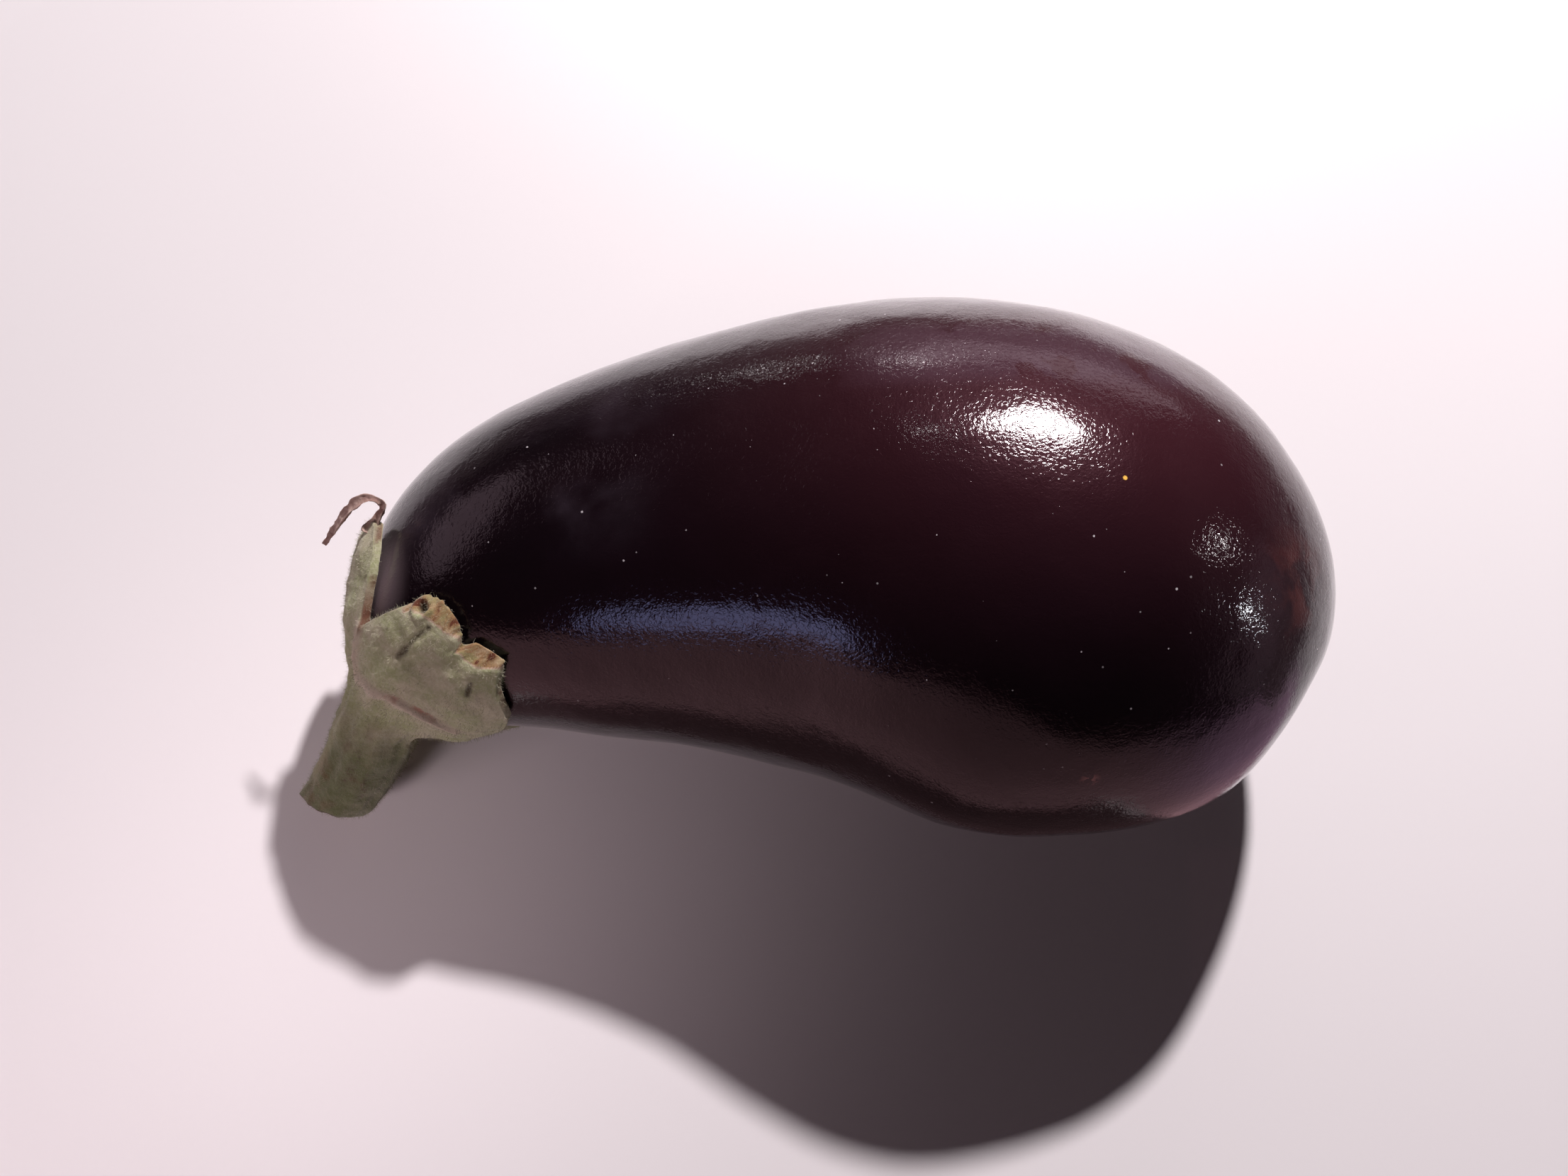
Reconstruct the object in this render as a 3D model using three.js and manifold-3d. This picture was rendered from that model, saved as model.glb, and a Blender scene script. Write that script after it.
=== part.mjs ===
// An eggplant, picked with its calyx and a short length of stem, lying on its side.
// Millimetres, +Z up, +X from the stem end to the blossom end, standing on Z = 0.
import * as THREE from "three";
import { mergeVertices } from "three/addons/utils/BufferGeometryUtils.js";
import Module from "manifold-3d";

const wasm = await Module();
wasm.setup();

// Fruit: a bent centre line with a girth along it. Stations run from 0 at the stem to 1 at the blossom scar.
const LINE_STATIONS = [0, 0.12, 0.3, 0.5, 0.75, 1];
const LINE_X = [-67, -54, -32.5, 0.5, 38.5, 76];
const LINE_Y = [-18.6, -7.6, 1.9, 4.9, -2.6, -24.1];
const LINE_Z = [30, 32.3, 34, 36.2, 41.2, 40.5];
const GIRTH_STATIONS = [0, 0.12, 0.3, 0.5, 0.7, 0.85, 1];
const GIRTH_RADIUS = [28, 30, 30.5, 36.5, 42.5, 43, 34.5];
const STEM_END_BLUNTNESS = 2;
const BLOSSOM_END_BLUNTNESS = 3.25;
const SCAR_DIMPLE_DEPTH = 1;
const SCAR_DIMPLE_RADIUS = 7;

// Stem: a bent round stalk, cut off slantwise.
const STEM_RADIUS = 5.7;
const STEM_BASE_RADIUS = 7.1;
const STEM_RIDGE = 0.35;
const STEM_BEND_NEAR_FRUIT = new THREE.Vector3(-67.5, -24, 26.5);
const STEM_BEND_NEAR_CUT = new THREE.Vector3(-71.3, -28.2, 16.5);
const STEM_CUT_CENTRE = new THREE.Vector3(-77.5, -33.1, 7.5);
const STEM_CUT_FACING = new THREE.Vector3(-0.27, -0.84, -0.47).normalize();
const STEM_CUT_SLANT_FROM = 0.55;
const STEM_FREE_FROM = 0.3;
const CUT_RIM_ROUNDING = 0.6;

// Calyx: a cap grown on to the fruit's end, split at its edge into seven sepals.
const CAP_REACH = 16;
const FLARE_REACH = 9.5;
const FLARE_REACH_SWING = 2.8;
const FLARE_WIDEST_ANGLE = 20;
const FLARE_CORNER_SHARE = 0.5;
const CALYX_GAP = 0.35;
const CAP_THICKNESS = 1.9;
const CAP_THICKNESS_SWING = 0.6;
const EDGE_THICKNESS = 1.3;
const RIB_HEIGHT = 0.6;
const RIB_HALF_ANGLE = 8;
// Angles in degrees run round the stem, from 0 on the -Y side to 90 on top. Reach is measured over the skin
// from the stem's middle. Each side of a sepal falls from its tip to the cap over its own half angle.
const SEPALS = [
  { middle: 139, tipReach: 30.5, before: 21, after: 34, roundness: 1.4, lift: 1.2 },
  { middle: 84, tipReach: 31.5, before: 30, after: 34, roundness: 1.35, lift: 0.7 },
  { middle: 58, tipReach: 33, before: 58, after: 30, roundness: 1.3, lift: 0.3 },
  { middle: -42, tipReach: 26, before: 24, after: 24, roundness: 1.3, lift: 0.4 },
  { middle: -86, tipReach: 29, before: 23, after: 23, roundness: 1.2, lift: 0.3 },
  { middle: -128, tipReach: 27, before: 22, after: 22, roundness: 1.3, lift: 0.4 },
  { middle: -170, tipReach: 27, before: 22, after: 20, roundness: 1.2, lift: 0.3 },
];

// Dried tip: the narrow end of the first sepal, shrivelled to a ribbon and curled back.
const DRIED_TIP_ROUTE = [
  new THREE.Vector3(-66.9, 3.7, 46.7),
  new THREE.Vector3(-65.7, 5.7, 47.8),
  new THREE.Vector3(-64.7, 6.8, 49.3),
  new THREE.Vector3(-64.5, 7.6, 50.5),
  new THREE.Vector3(-66.1, 8.3, 51.4),
  new THREE.Vector3(-68.3, 7.9, 50.5),
  new THREE.Vector3(-70.2, 6.8, 48.5),
  new THREE.Vector3(-73.1, 4.7, 44),
  new THREE.Vector3(-74.8, 3.3, 41.5),
];
const DRIED_TIP_WIDTH = 1.9;
const DRIED_TIP_END_WIDTH = 0.85;
const DRIED_TIP_THICKNESS = 0.7;

const SKIN_COLOUR = 0x24121a;
const SKIN_ROUGHNESS = 0.22;
const GREEN_COLOUR = 0x6b6a4c;
const GREEN_ROUGHNESS = 0.85;

const FRUIT_RINGS = 46;
const FRUIT_SIDES = 60;
const CALYX_SIDES = 84;
const STEM_RINGS = 7;
const FLARE_RINGS = 4;
const SEPAL_RINGS = 7;
const LINING_RINGS = 9;
const DRIED_TIP_RINGS = 20;
const DRIED_TIP_SIDES = 6;

const { degToRad, lerp, radToDeg, smoothstep } = THREE.MathUtils;

// A natural cubic spline through values at the given stations.
function smoothCurve(stations, values) {
  const last = stations.length - 1;
  const bend = new Array(last + 1).fill(0);
  const share = new Array(last + 1).fill(0);
  for (let i = 1; i < last; i++) {
    const before = stations[i] - stations[i - 1];
    const after = stations[i + 1] - stations[i];
    const slopeChange =
      (values[i + 1] - values[i]) / after - (values[i] - values[i - 1]) / before;
    const pivot = 2 * (before + after) - before * share[i - 1];
    share[i] = after / pivot;
    bend[i] = (6 * slopeChange - before * bend[i - 1]) / pivot;
  }
  for (let i = last - 1; i > 0; i--) bend[i] -= share[i] * bend[i + 1];
  return (station) => {
    let i = 0;
    while (i < last - 1 && station > stations[i + 1]) i++;
    const span = stations[i + 1] - stations[i];
    const b = (station - stations[i]) / span;
    const a = 1 - b;
    const sag = ((a ** 3 - a) * bend[i] + (b ** 3 - b) * bend[i + 1]) * (span ** 2 / 6);
    return a * values[i] + b * values[i + 1] + sag;
  };
}

const lineX = smoothCurve(LINE_STATIONS, LINE_X);
const lineY = smoothCurve(LINE_STATIONS, LINE_Y);
const lineZ = smoothCurve(LINE_STATIONS, LINE_Z);
const girthRadius = smoothCurve(GIRTH_STATIONS, GIRTH_RADIUS);
const UP = new THREE.Vector3(0, 0, 1);

function centrePoint(station) {
  return new THREE.Vector3(lineX(station), lineY(station), lineZ(station));
}

// The centre line's own directions at a station: along it, level to the -Y side, and upwards.
function directionsAt(station) {
  const step = 1e-4;
  const along = centrePoint(Math.min(station + step, 1))
    .sub(centrePoint(Math.max(station - step, 0)))
    .normalize();
  const side = along.clone().cross(UP).normalize();
  const up = side.clone().cross(along);
  return { along, side, up };
}

function radiusAt(station) {
  const bluntness = lerp(STEM_END_BLUNTNESS, BLOSSOM_END_BLUNTNESS, station);
  const fromMiddle = Math.abs(2 * station - 1) ** bluntness;
  return girthRadius(station) * Math.max(1 - fromMiddle, 0) ** (1 / bluntness);
}

function around(side, up, angle) {
  return side.clone().multiplyScalar(Math.cos(angle)).addScaledVector(up, Math.sin(angle));
}

// A point of the skin, with the shallow dimple round the blossom scar.
function skinPoint(station, angle) {
  const { along, side, up } = directionsAt(station);
  const radius = radiusAt(station);
  const nearScar = station > 0.5 ? Math.exp(-((radius / SCAR_DIMPLE_RADIUS) ** 2)) : 0;
  return centrePoint(station)
    .addScaledVector(along, -SCAR_DIMPLE_DEPTH * nearScar)
    .addScaledVector(around(side, up, angle), radius);
}

// Stations crowd towards the two ends, where the skin turns fastest.
function endCrowdedStation(share) {
  return (1 - Math.cos(Math.PI * share)) / 2;
}

// A closed geometry from rings of equal point counts, capped by a point at each end.
function closedGeometry(firstPole, rings, lastPole) {
  const sides = rings[0].length;
  const points = [firstPole, ...rings.flat(), lastPole];
  const faces = [];
  for (let k = 0; k < sides; k++) {
    const next = (k + 1) % sides;
    faces.push(0, 1 + k, 1 + next);
    for (let j = 0; j < rings.length - 1; j++) {
      const here = 1 + j * sides;
      const there = here + sides;
      faces.push(here + k, there + next, here + next);
      faces.push(here + k, there + k, there + next);
    }
    const lastRing = 1 + (rings.length - 1) * sides;
    faces.push(lastRing + k, points.length - 1, lastRing + next);
  }
  const geometry = new THREE.BufferGeometry().setFromPoints(points);
  geometry.setIndex(faces);
  return geometry;
}

function solidFrom(geometry) {
  const bare = geometry.clone();
  bare.deleteAttribute("normal");
  bare.deleteAttribute("uv");
  const merged = mergeVertices(bare, 1e-4);
  return new wasm.Manifold(
    new wasm.Mesh({
      numProp: 3,
      vertProperties: new Float32Array(merged.attributes.position.array),
      triVerts: new Uint32Array(merged.index.array),
    }),
  );
}

function geometryFrom(solid) {
  const mesh = solid.getMesh();
  const geometry = new THREE.BufferGeometry();
  geometry.setAttribute("position", new THREE.BufferAttribute(mesh.vertProperties, 3));
  geometry.setIndex(new THREE.BufferAttribute(mesh.triVerts, 1));
  geometry.computeVertexNormals();
  return geometry;
}

// Everything below the surface that the eggplant lies on, as one solid to cut with.
function belowGround() {
  const length = 400;
  const depth = 50;
  const slab = new THREE.BoxGeometry(length, length, depth);
  slab.translate(0, 0, -depth / 2);
  return solidFrom(slab);
}

function fruitGeometry() {
  const rings = [];
  for (let j = 1; j < FRUIT_RINGS; j++) {
    const station = endCrowdedStation(j / FRUIT_RINGS);
    const ring = [];
    for (let k = 0; k < FRUIT_SIDES; k++) {
      ring.push(skinPoint(station, (2 * Math.PI * k) / FRUIT_SIDES));
    }
    rings.push(ring);
  }
  const whole = closedGeometry(skinPoint(0, 0), rings, skinPoint(1, 0));
  return geometryFrom(solidFrom(whole).subtract(belowGround()));
}

// Walks over the skin from the stem's middle until it has gone the given reach.
function stationAtReach(reach, angle) {
  const step = 0.0005;
  let share = 0;
  let walked = 0;
  let here = skinPoint(0, angle);
  while (walked < reach) {
    share += step;
    const there = skinPoint(endCrowdedStation(share), angle);
    walked += there.distanceTo(here);
    here = there;
  }
  return endCrowdedStation(share);
}

// The point that stands a lift above the skin, at a reach from the stem's middle.
function overSkin(reach, angle, lift) {
  const station = Math.max(stationAtReach(reach, angle), 1e-5);
  const turn = 0.01;
  const step = Math.min(0.001, station / 2);
  const along = skinPoint(station + step, angle).sub(skinPoint(station - step, angle));
  const round = skinPoint(station, angle + turn).sub(skinPoint(station, angle - turn));
  const outward = along.cross(round).normalize();
  return skinPoint(station, angle).addScaledVector(outward, lift);
}

function degreesApart(a, b) {
  return THREE.MathUtils.euclideanModulo(a - b + 180, 360) - 180;
}

// How far a sepal reaches past the cap at an angle, from 0 beside it to 1 at its tip.
function sepalShare(sepal, degrees) {
  const offset = degreesApart(degrees, sepal.middle);
  const halfAngle = offset < 0 ? sepal.before : sepal.after;
  return 1 - Math.min(Math.abs(offset) / halfAngle, 1) ** sepal.roundness;
}

// The calyx at an angle: the reach of its edge, how far the edge stands off, and its rib.
function calyxAt(degrees) {
  let edgeReach = CAP_REACH;
  let edgeLift = 0;
  let rib = 0;
  for (const sepal of SEPALS) {
    const share = sepalShare(sepal, degrees);
    edgeReach = Math.max(edgeReach, lerp(CAP_REACH, sepal.tipReach, share));
    edgeLift = Math.max(edgeLift, sepal.lift * share);
    const fromRib = degreesApart(degrees, sepal.middle) / RIB_HALF_ANGLE;
    rib = Math.max(rib, Math.exp(-(fromRib ** 2)));
  }
  return { edgeReach, edgeLift, rib };
}

const stemLine = new THREE.CubicBezierCurve3(
  centrePoint(0),
  STEM_BEND_NEAR_FRUIT,
  STEM_BEND_NEAR_CUT,
  STEM_CUT_CENTRE,
);

// A point of the stem's surface, at a share of its length from the fruit to the cut.
function stemPoint(share, angle, rib) {
  const { along, side, up } = directionsAt(0);
  const heading = stemLine.getTangent(share);
  const bent = new THREE.Quaternion().setFromUnitVectors(along.clone().negate(), heading);
  const radius = lerp(STEM_BASE_RADIUS, STEM_RADIUS, share) + STEM_RIDGE * (rib - 0.5);
  const outward = around(side, up, angle).applyQuaternion(bent);
  const point = stemLine.getPoint(share).addScaledVector(outward, radius);
  const offCut = STEM_CUT_CENTRE.clone().sub(point).dot(STEM_CUT_FACING);
  const slide = offCut / heading.dot(STEM_CUT_FACING);
  const slant = smoothstep(share, STEM_CUT_SLANT_FROM, 1);
  const untilCut = stemLine.getLength() * (1 - share);
  return point.addScaledVector(heading, slant * (slide - untilCut));
}

// The foot of the stem spreads furthest on the side that it bends towards.
function flareReach(angle) {
  return FLARE_REACH + FLARE_REACH_SWING * Math.cos(angle - degToRad(FLARE_WIDEST_ANGLE));
}

// The line of points at one angle, from the stem's cut over stem, flare and sepal, round its edge,
// and back under it over the skin.
function calyxProfile(angle) {
  const { edgeReach, edgeLift, rib } = calyxAt(radToDeg(angle));
  const profile = [];
  const cutRim = stemPoint(1, angle, rib);
  const inwards = STEM_CUT_CENTRE.clone().sub(cutRim).normalize();
  profile.push(cutRim.clone().addScaledVector(inwards, CUT_RIM_ROUNDING));
  for (let j = 0; j <= STEM_RINGS; j++) {
    const share = lerp(1, STEM_FREE_FROM, j / STEM_RINGS);
    const backed = j === 0 ? CUT_RIM_ROUNDING / 2 : 0;
    profile.push(stemPoint(share, angle, rib).addScaledVector(STEM_CUT_FACING, -backed));
  }
  const capThickness = CAP_THICKNESS + CAP_THICKNESS_SWING * Math.cos(angle);
  const capTop = CALYX_GAP + capThickness + RIB_HEIGHT * rib;
  const flareEnd = flareReach(angle);
  const flare = new THREE.QuadraticBezierCurve3(
    profile[profile.length - 1],
    overSkin(flareEnd * FLARE_CORNER_SHARE, angle, capTop),
    overSkin(flareEnd, angle, capTop),
  );
  for (let j = 1; j <= FLARE_RINGS; j++) profile.push(flare.getPoint(j / FLARE_RINGS));
  const edgeTop = CALYX_GAP + edgeLift + EDGE_THICKNESS + (RIB_HEIGHT * rib) / 2;
  for (let j = 1; j <= SEPAL_RINGS; j++) {
    const share = j / SEPAL_RINGS;
    const reach = lerp(flareEnd, edgeReach, share);
    profile.push(overSkin(reach, angle, lerp(capTop, edgeTop, share ** 2)));
  }
  const edgeFoot = CALYX_GAP + edgeLift;
  const edgeMiddle = (edgeTop + edgeFoot) / 2;
  profile.push(overSkin(edgeReach + EDGE_THICKNESS / 3, angle, edgeMiddle));
  for (let j = 0; j < LINING_RINGS; j++) {
    const share = 1 - j / LINING_RINGS;
    const foot = lerp(CALYX_GAP, edgeFoot, share ** 3);
    profile.push(overSkin(edgeReach * share, angle, foot));
  }
  return profile;
}

function calyxGeometry() {
  const profiles = [];
  for (let k = 0; k < CALYX_SIDES; k++) {
    profiles.push(calyxProfile((2 * Math.PI * k) / CALYX_SIDES));
  }
  const rings = profiles[0].map((point, j) => profiles.map((profile) => profile[j]));
  const liningMiddle = centrePoint(0).addScaledVector(directionsAt(0).along, -CALYX_GAP);
  return closedGeometry(STEM_CUT_CENTRE, rings, liningMiddle);
}

// A flat ribbon along its route, narrowing to its end.
function driedTipGeometry() {
  const route = new THREE.CatmullRomCurve3(DRIED_TIP_ROUTE);
  const rings = [];
  for (let j = 0; j <= DRIED_TIP_RINGS; j++) {
    const share = j / DRIED_TIP_RINGS;
    const heading = route.getTangentAt(share);
    const flat = heading.clone().cross(UP).normalize();
    const face = flat.clone().cross(heading);
    const halfWidth = lerp(DRIED_TIP_WIDTH, DRIED_TIP_END_WIDTH, share) / 2;
    const ring = [];
    for (let k = 0; k < DRIED_TIP_SIDES; k++) {
      const angle = (2 * Math.PI * k) / DRIED_TIP_SIDES;
      ring.push(
        route
          .getPointAt(share)
          .addScaledVector(flat, halfWidth * Math.cos(angle))
          .addScaledVector(face, (DRIED_TIP_THICKNESS / 2) * Math.sin(angle)),
      );
    }
    rings.push(ring);
  }
  return closedGeometry(route.getPoint(0), rings, route.getPoint(1));
}

function fruit() {
  const skin = new THREE.MeshStandardMaterial({
    color: SKIN_COLOUR,
    roughness: SKIN_ROUGHNESS,
    metalness: 0,
  });
  const mesh = new THREE.Mesh(fruitGeometry(), skin);
  mesh.name = "fruit";
  return mesh;
}

function calyxAndStem() {
  const green = new THREE.MeshStandardMaterial({
    color: GREEN_COLOUR,
    roughness: GREEN_ROUGHNESS,
    metalness: 0,
  });
  const whole = solidFrom(calyxGeometry()).add(solidFrom(driedTipGeometry()));
  const mesh = new THREE.Mesh(geometryFrom(whole), green);
  mesh.name = "calyx_and_stem";
  return mesh;
}

const eggplant = new THREE.Group();
eggplant.add(fruit(), calyxAndStem());

// The origin is under the middle of the whole eggplant, on the surface that it lies on.
const extent = new THREE.Box3().setFromObject(eggplant);
const middle = extent.getCenter(new THREE.Vector3());
eggplant.position.set(-middle.x, -middle.y, -extent.min.z);

export default eggplant;
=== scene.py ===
# An eggplant lying on its side, seen from nearly straight above: its glossy fruit, and the woolly
# grey-green calyx with its cut stem and one dried, curled sepal tip.
import math

import bpy
import numpy as np
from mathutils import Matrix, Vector


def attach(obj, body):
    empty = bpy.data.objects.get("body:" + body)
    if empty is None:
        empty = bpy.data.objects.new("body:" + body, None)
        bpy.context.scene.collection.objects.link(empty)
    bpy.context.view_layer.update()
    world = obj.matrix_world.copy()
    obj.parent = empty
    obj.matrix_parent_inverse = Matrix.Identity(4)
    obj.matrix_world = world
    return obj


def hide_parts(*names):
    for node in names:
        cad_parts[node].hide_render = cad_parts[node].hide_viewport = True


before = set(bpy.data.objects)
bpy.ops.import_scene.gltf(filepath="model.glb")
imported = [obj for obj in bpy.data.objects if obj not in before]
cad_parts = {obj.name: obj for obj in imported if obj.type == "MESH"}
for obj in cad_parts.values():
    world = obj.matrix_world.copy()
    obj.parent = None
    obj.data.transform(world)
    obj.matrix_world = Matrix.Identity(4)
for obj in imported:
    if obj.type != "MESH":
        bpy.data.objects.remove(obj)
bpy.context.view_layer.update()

MM = 0.001

# Camera: straight above but for twelve degrees, as the picture was taken.
PICTURE_WIDTH = 2212
FOCAL_LENGTH_IN_PIXELS = 3700
SENSOR_WIDTH = 36
CAMERA_ELEVATION = math.radians(78)
CAMERA_DISTANCE = 0.4097
LOOK_AT = Vector((-2.5, -4.1, 43)) * MM

# Fruit, in mm: a bent centre line with a girth along it, from 0 at the stem to 1 at the blossom scar.
LINE_STATIONS = (0, 0.12, 0.3, 0.5, 0.75, 1)
LINE_X = (-67, -54, -32.5, 0.5, 38.5, 76)
LINE_Y = (-18.6, -7.6, 1.9, 4.9, -2.6, -24.1)
LINE_Z = (30, 32.3, 34, 36.2, 41.2, 40.5)
GIRTH_STATIONS = (0, 0.12, 0.3, 0.5, 0.7, 0.85, 1)
GIRTH_RADIUS = (28, 30, 30.5, 36.5, 42.5, 43, 34.5)
STEM_END_BLUNTNESS = 2
BLOSSOM_END_BLUNTNESS = 3.25
SCAR_DIMPLE_DEPTH = 1
SCAR_DIMPLE_RADIUS = 7
SCAR_RADIUS = 2.6
FRUIT_SIDES = 36
FRUIT_RINGS = 32
FRUIT_SUBDIVISIONS = 3
SUBDIVISION_SHRINKAGE = 0.995
BULGE_SIZE = 0.02
BULGE_HEIGHT = 0.0007
DENT_SIZE = 0.0065
DENT_DEPTH = 0.00016
# Where bulges and dents fade in, as (from, over), in mm above the floor and away from the stem's end.
SMOOTH_BELLY = (1, 6)
SMOOTH_UNDER_CALYX = (32, 8)

# Stem, in mm.
STEM_RADIUS = 5.7
STEM_BASE_RADIUS = 7.1
STEM_RIDGE = 0.35
STEM_BEND_NEAR_FRUIT = (-67.5, -24, 26.5)
STEM_BEND_NEAR_CUT = (-71.3, -28.2, 16.5)
STEM_CUT_CENTRE = (-77.5, -33.1, 7.5)
STEM_CUT_FACING = (-0.27, -0.84, -0.47)
STEM_CUT_SLANT_FROM = 0.55
STEM_FREE_FROM = 0.3
CUT_RIM_ROUNDING = 0.6
CUT_FACE_HOLLOW = 0.5

# Calyx, in mm. Angles in degrees run round the stem, from 0 on the -Y side to 90 on top.
CAP_REACH = 16
FLARE_REACH = 9.5
FLARE_REACH_SWING = 2.8
FLARE_WIDEST_ANGLE = 20
FLARE_CORNER_SHARE = 0.5
CALYX_GAP = 0.35
CAP_THICKNESS = 1.9
CAP_THICKNESS_SWING = 0.6
EDGE_THICKNESS = 1.3
RIB_HEIGHT = 0.6
RIB_HALF_ANGLE = 8
SEPALS = (
    dict(middle=139, tip_reach=30.5, before=21, after=34, roundness=1.4, lift=1.2),
    dict(middle=84, tip_reach=31.5, before=30, after=34, roundness=1.35, lift=0.9),
    dict(middle=58, tip_reach=33, before=58, after=30, roundness=1.3, lift=0.5),
    dict(middle=-42, tip_reach=26, before=24, after=24, roundness=1.3, lift=0.4),
    dict(middle=-86, tip_reach=29, before=23, after=23, roundness=1.2, lift=0.3),
    dict(middle=-128, tip_reach=27, before=22, after=22, roundness=1.3, lift=0.4),
    dict(middle=-170, tip_reach=27, before=22, after=20, roundness=1.2, lift=0.3),
)
# The part of the edge that the picture shows, as (angle, reach), measured from it.
SHOWN_EDGE = (
    (-3, 16), (8, 20.5), (17, 23.2), (28, 26.2), (38, 27.3), (45.5, 28.4), (51, 30.3), (56.5, 32.6),
    (62, 31.8), (67, 30.6), (70, 28.2), (73, 29.7), (80, 30.9), (88, 30.8), (93, 29.6), (98, 25.3),
    (106.5, 20.7), (113, 17.8), (118, 15.8), (120, 18.5), (124, 24), (129, 27.5), (137, 30.5),
    (146, 29.5), (155, 25.8), (161, 21), (166, 18), (171, 16.3),
)
# How wide the torn band is along the ends of two sepals, as (angle, width).
TORN_WIDTH = (
    (54.5, 0), (57, 1.8), (59.5, 3.2), (65, 3.4), (69, 1.8), (70.5, 0),
    (73, 0.4), (78.5, 2.5), (85, 3.1), (91, 3.5), (95.5, 2.8), (98.5, 0),
)
# Lines on the calyx and stem, as places: a woolly ridge round the stem's foot with a pink streak
# below it, a dark crease, a small dark mark, brown streaks on the stem, and its paler rib.
RIDGE_LINE = (
    (-68.4, -10.3, 43.5), (-69.9, -14.4, 38.7), (-69.9, -16.8, 36.5), (-67.7, -18.7, 39),
    (-65.8, -20.3, 40.2), (-61.5, -22.7, 41.7), (-57.3, -24.5, 39.8), (-54, -25.9, 37.3),
)
PINK_LINE = ((-64.4, -20.7, 40.7), (-61.1, -22.3, 42.5), (-59.1, -23.2, 42.2), (-57.1, -24.4, 40.2))
CREASE_LINE = ((-61.9, -16.1, 48.4), (-60.1, -15, 50.5), (-58.4, -13.8, 52.4), (-56.4, -12.8, 54.2))
DARK_MARK = ((-50.2, -20.5, 50.3), (-51, -22, 47.7))
STEM_STREAKS = (
    ((-70.3, -28, 29.4), (-73.4, -31.7, 22.4)),
    ((-69.5, -31.1, 24.9), (-71.5, -33.8, 19.1)),
)
PALE_RIB = ((-73, -22.8, 29.7), (-75.9, -25.4, 23.7), (-79.5, -29.6, 15.5))
CURLED_HOLLOW = (-57.3, -9.6, 54.4)
NOTCH_ANGLE = 119
# Height and half width of the low relief along each line, and round the curled hollow.
RIDGE_RELIEF = (0.7, 0.8)
PINK_RELIEF = (-0.2, 0.5)
CREASE_RELIEF = (-0.45, 0.6)
DARK_MARK_RELIEF = (-0.25, 0.4)
PALE_RIB_RELIEF = (0.3, 1.1)
HOLLOW_RELIEF = (-0.9, 0.9)
HOLLOW_LIP_RELIEF = (0.6, 0.5)
HOLLOW_LIP_RADIUS = 1.5
FURROW_HEIGHT = 0.3
TORN_FIBRE_HEIGHT = 0.13
# Cloudy roughness of the calyx, as (size, height), in metres.
CALYX_LUMPS = (0.0055, 0.0011)
CALYX_WRINKLES = (0.0013, 0.00035)
TORN_FIBRES = (0.0014, 0.0005)
CALYX_SIDES = 600
CALYX_EDGE_RINGS = 50
SEED = 7

# Dried tip, in mm: a shrivelled ribbon, curled back from the first sepal's end.
DRIED_TIP_ROUTE = (
    (-66.9, 3.7, 46.7),
    (-65.7, 5.7, 47.8),
    (-64.7, 6.8, 49.3),
    (-64.5, 7.6, 50.5),
    (-66.1, 8.3, 51.4),
    (-68.3, 7.9, 50.5),
    (-70.2, 6.8, 48.5),
    (-73.1, 4.7, 44),
    (-74.8, 3.3, 41.5),
)
DRIED_TIP_WIDTHS = (2.6, 1.8, 1.3, 1.1, 1.2, 1.6, 1.8, 1.1, 0.8)
DRIED_TIP_THICKNESS = 0.6
DRIED_TIP_SIDES = 16
DRIED_TIP_RINGS = 90
DRIED_TIP_CUP = 0.35
DRIED_TIP_TWIST = 0.5
SHRIVEL = (0.0012, 0.0005)

HAIR_COUNT = 15000
HAIR_LENGTH = (0.4, 1.2)
HAIR_RADIUS = 0.021
HAIR_ROOT_DEPTH = 0.15
HAIR_LEAN = 0.7
HAIR_BEND = 0.6

# Marks on the skin, in metres: (centre, radius of the full mark, radius where it ends).
# A pale patch beside the first sepal: painted reflection of the bright floor to its left.
PALE_REFLECTION_PATCH = ((-0.0665, -0.003, 0.0455), 0.001, 0.0095)
RED_END = ((0.074, -0.008, 0.066), 0.001, 0.012)
SMALL_SCAR = ((0.0423, -0.0371, 0.0627), 0.0004, 0.0019)
YELLOW_SPECK = ((0.0462, 0.0039, 0.0813), 0.0003, 0.00045)
# Where on the skin a colour fades in, in metres: (none, full).
# Redder on the side that faces the key light: partly the skin's own tone, partly painted glow of that
# light.
REDDER_AND_LIT_X, REDDER_AND_LIT_Y = (-0.04, 0.05), (-0.03, 0.03)
# A hazy patch on the left shoulder: partly smudged wax, partly painted reflection of the dim light from
# the left.
HAZE_AND_REFLECTION_X, HAZE_AND_REFLECTION_Y = (-0.012, -0.04), (-0.006, 0.006)
# Mauve blotches along the top: partly a smudged film, partly painted reflection of a lit wall.
FILM_AND_REFLECTION_FRONT, FILM_AND_REFLECTION_BACK = (0.018, 0.022), (0.033, 0.029)
FILM_AND_REFLECTION_LEFT, FILM_AND_REFLECTION_RIGHT = (0.0, 0.02), (0.068, 0.055)
STRETCHED_ROUND = (1.0, 0.22, 0.22)

SKIN_DARK = (0.0034, 0.0018, 0.0028)
# The skin's own red, brightened with painted glow where the key light falls.
SKIN_RED_AND_LIT = (0.04, 0.0095, 0.014)
SKIN_PATCH = (0.012, 0.004, 0.008)
SKIN_SHEEN = (1.0, 0.45, 0.55, 1.0)
# Grey-mauve of the hazy shoulder patch: partly smudged wax, partly painted reflection.
HAZE_AND_REFLECTION_GREY = (0.026, 0.018, 0.025)
# Mauve of the blotches along the top: partly a smudged film, partly painted reflection of a lit wall.
MAUVE_FILM_AND_REFLECTION = (0.05, 0.022, 0.032)
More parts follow.
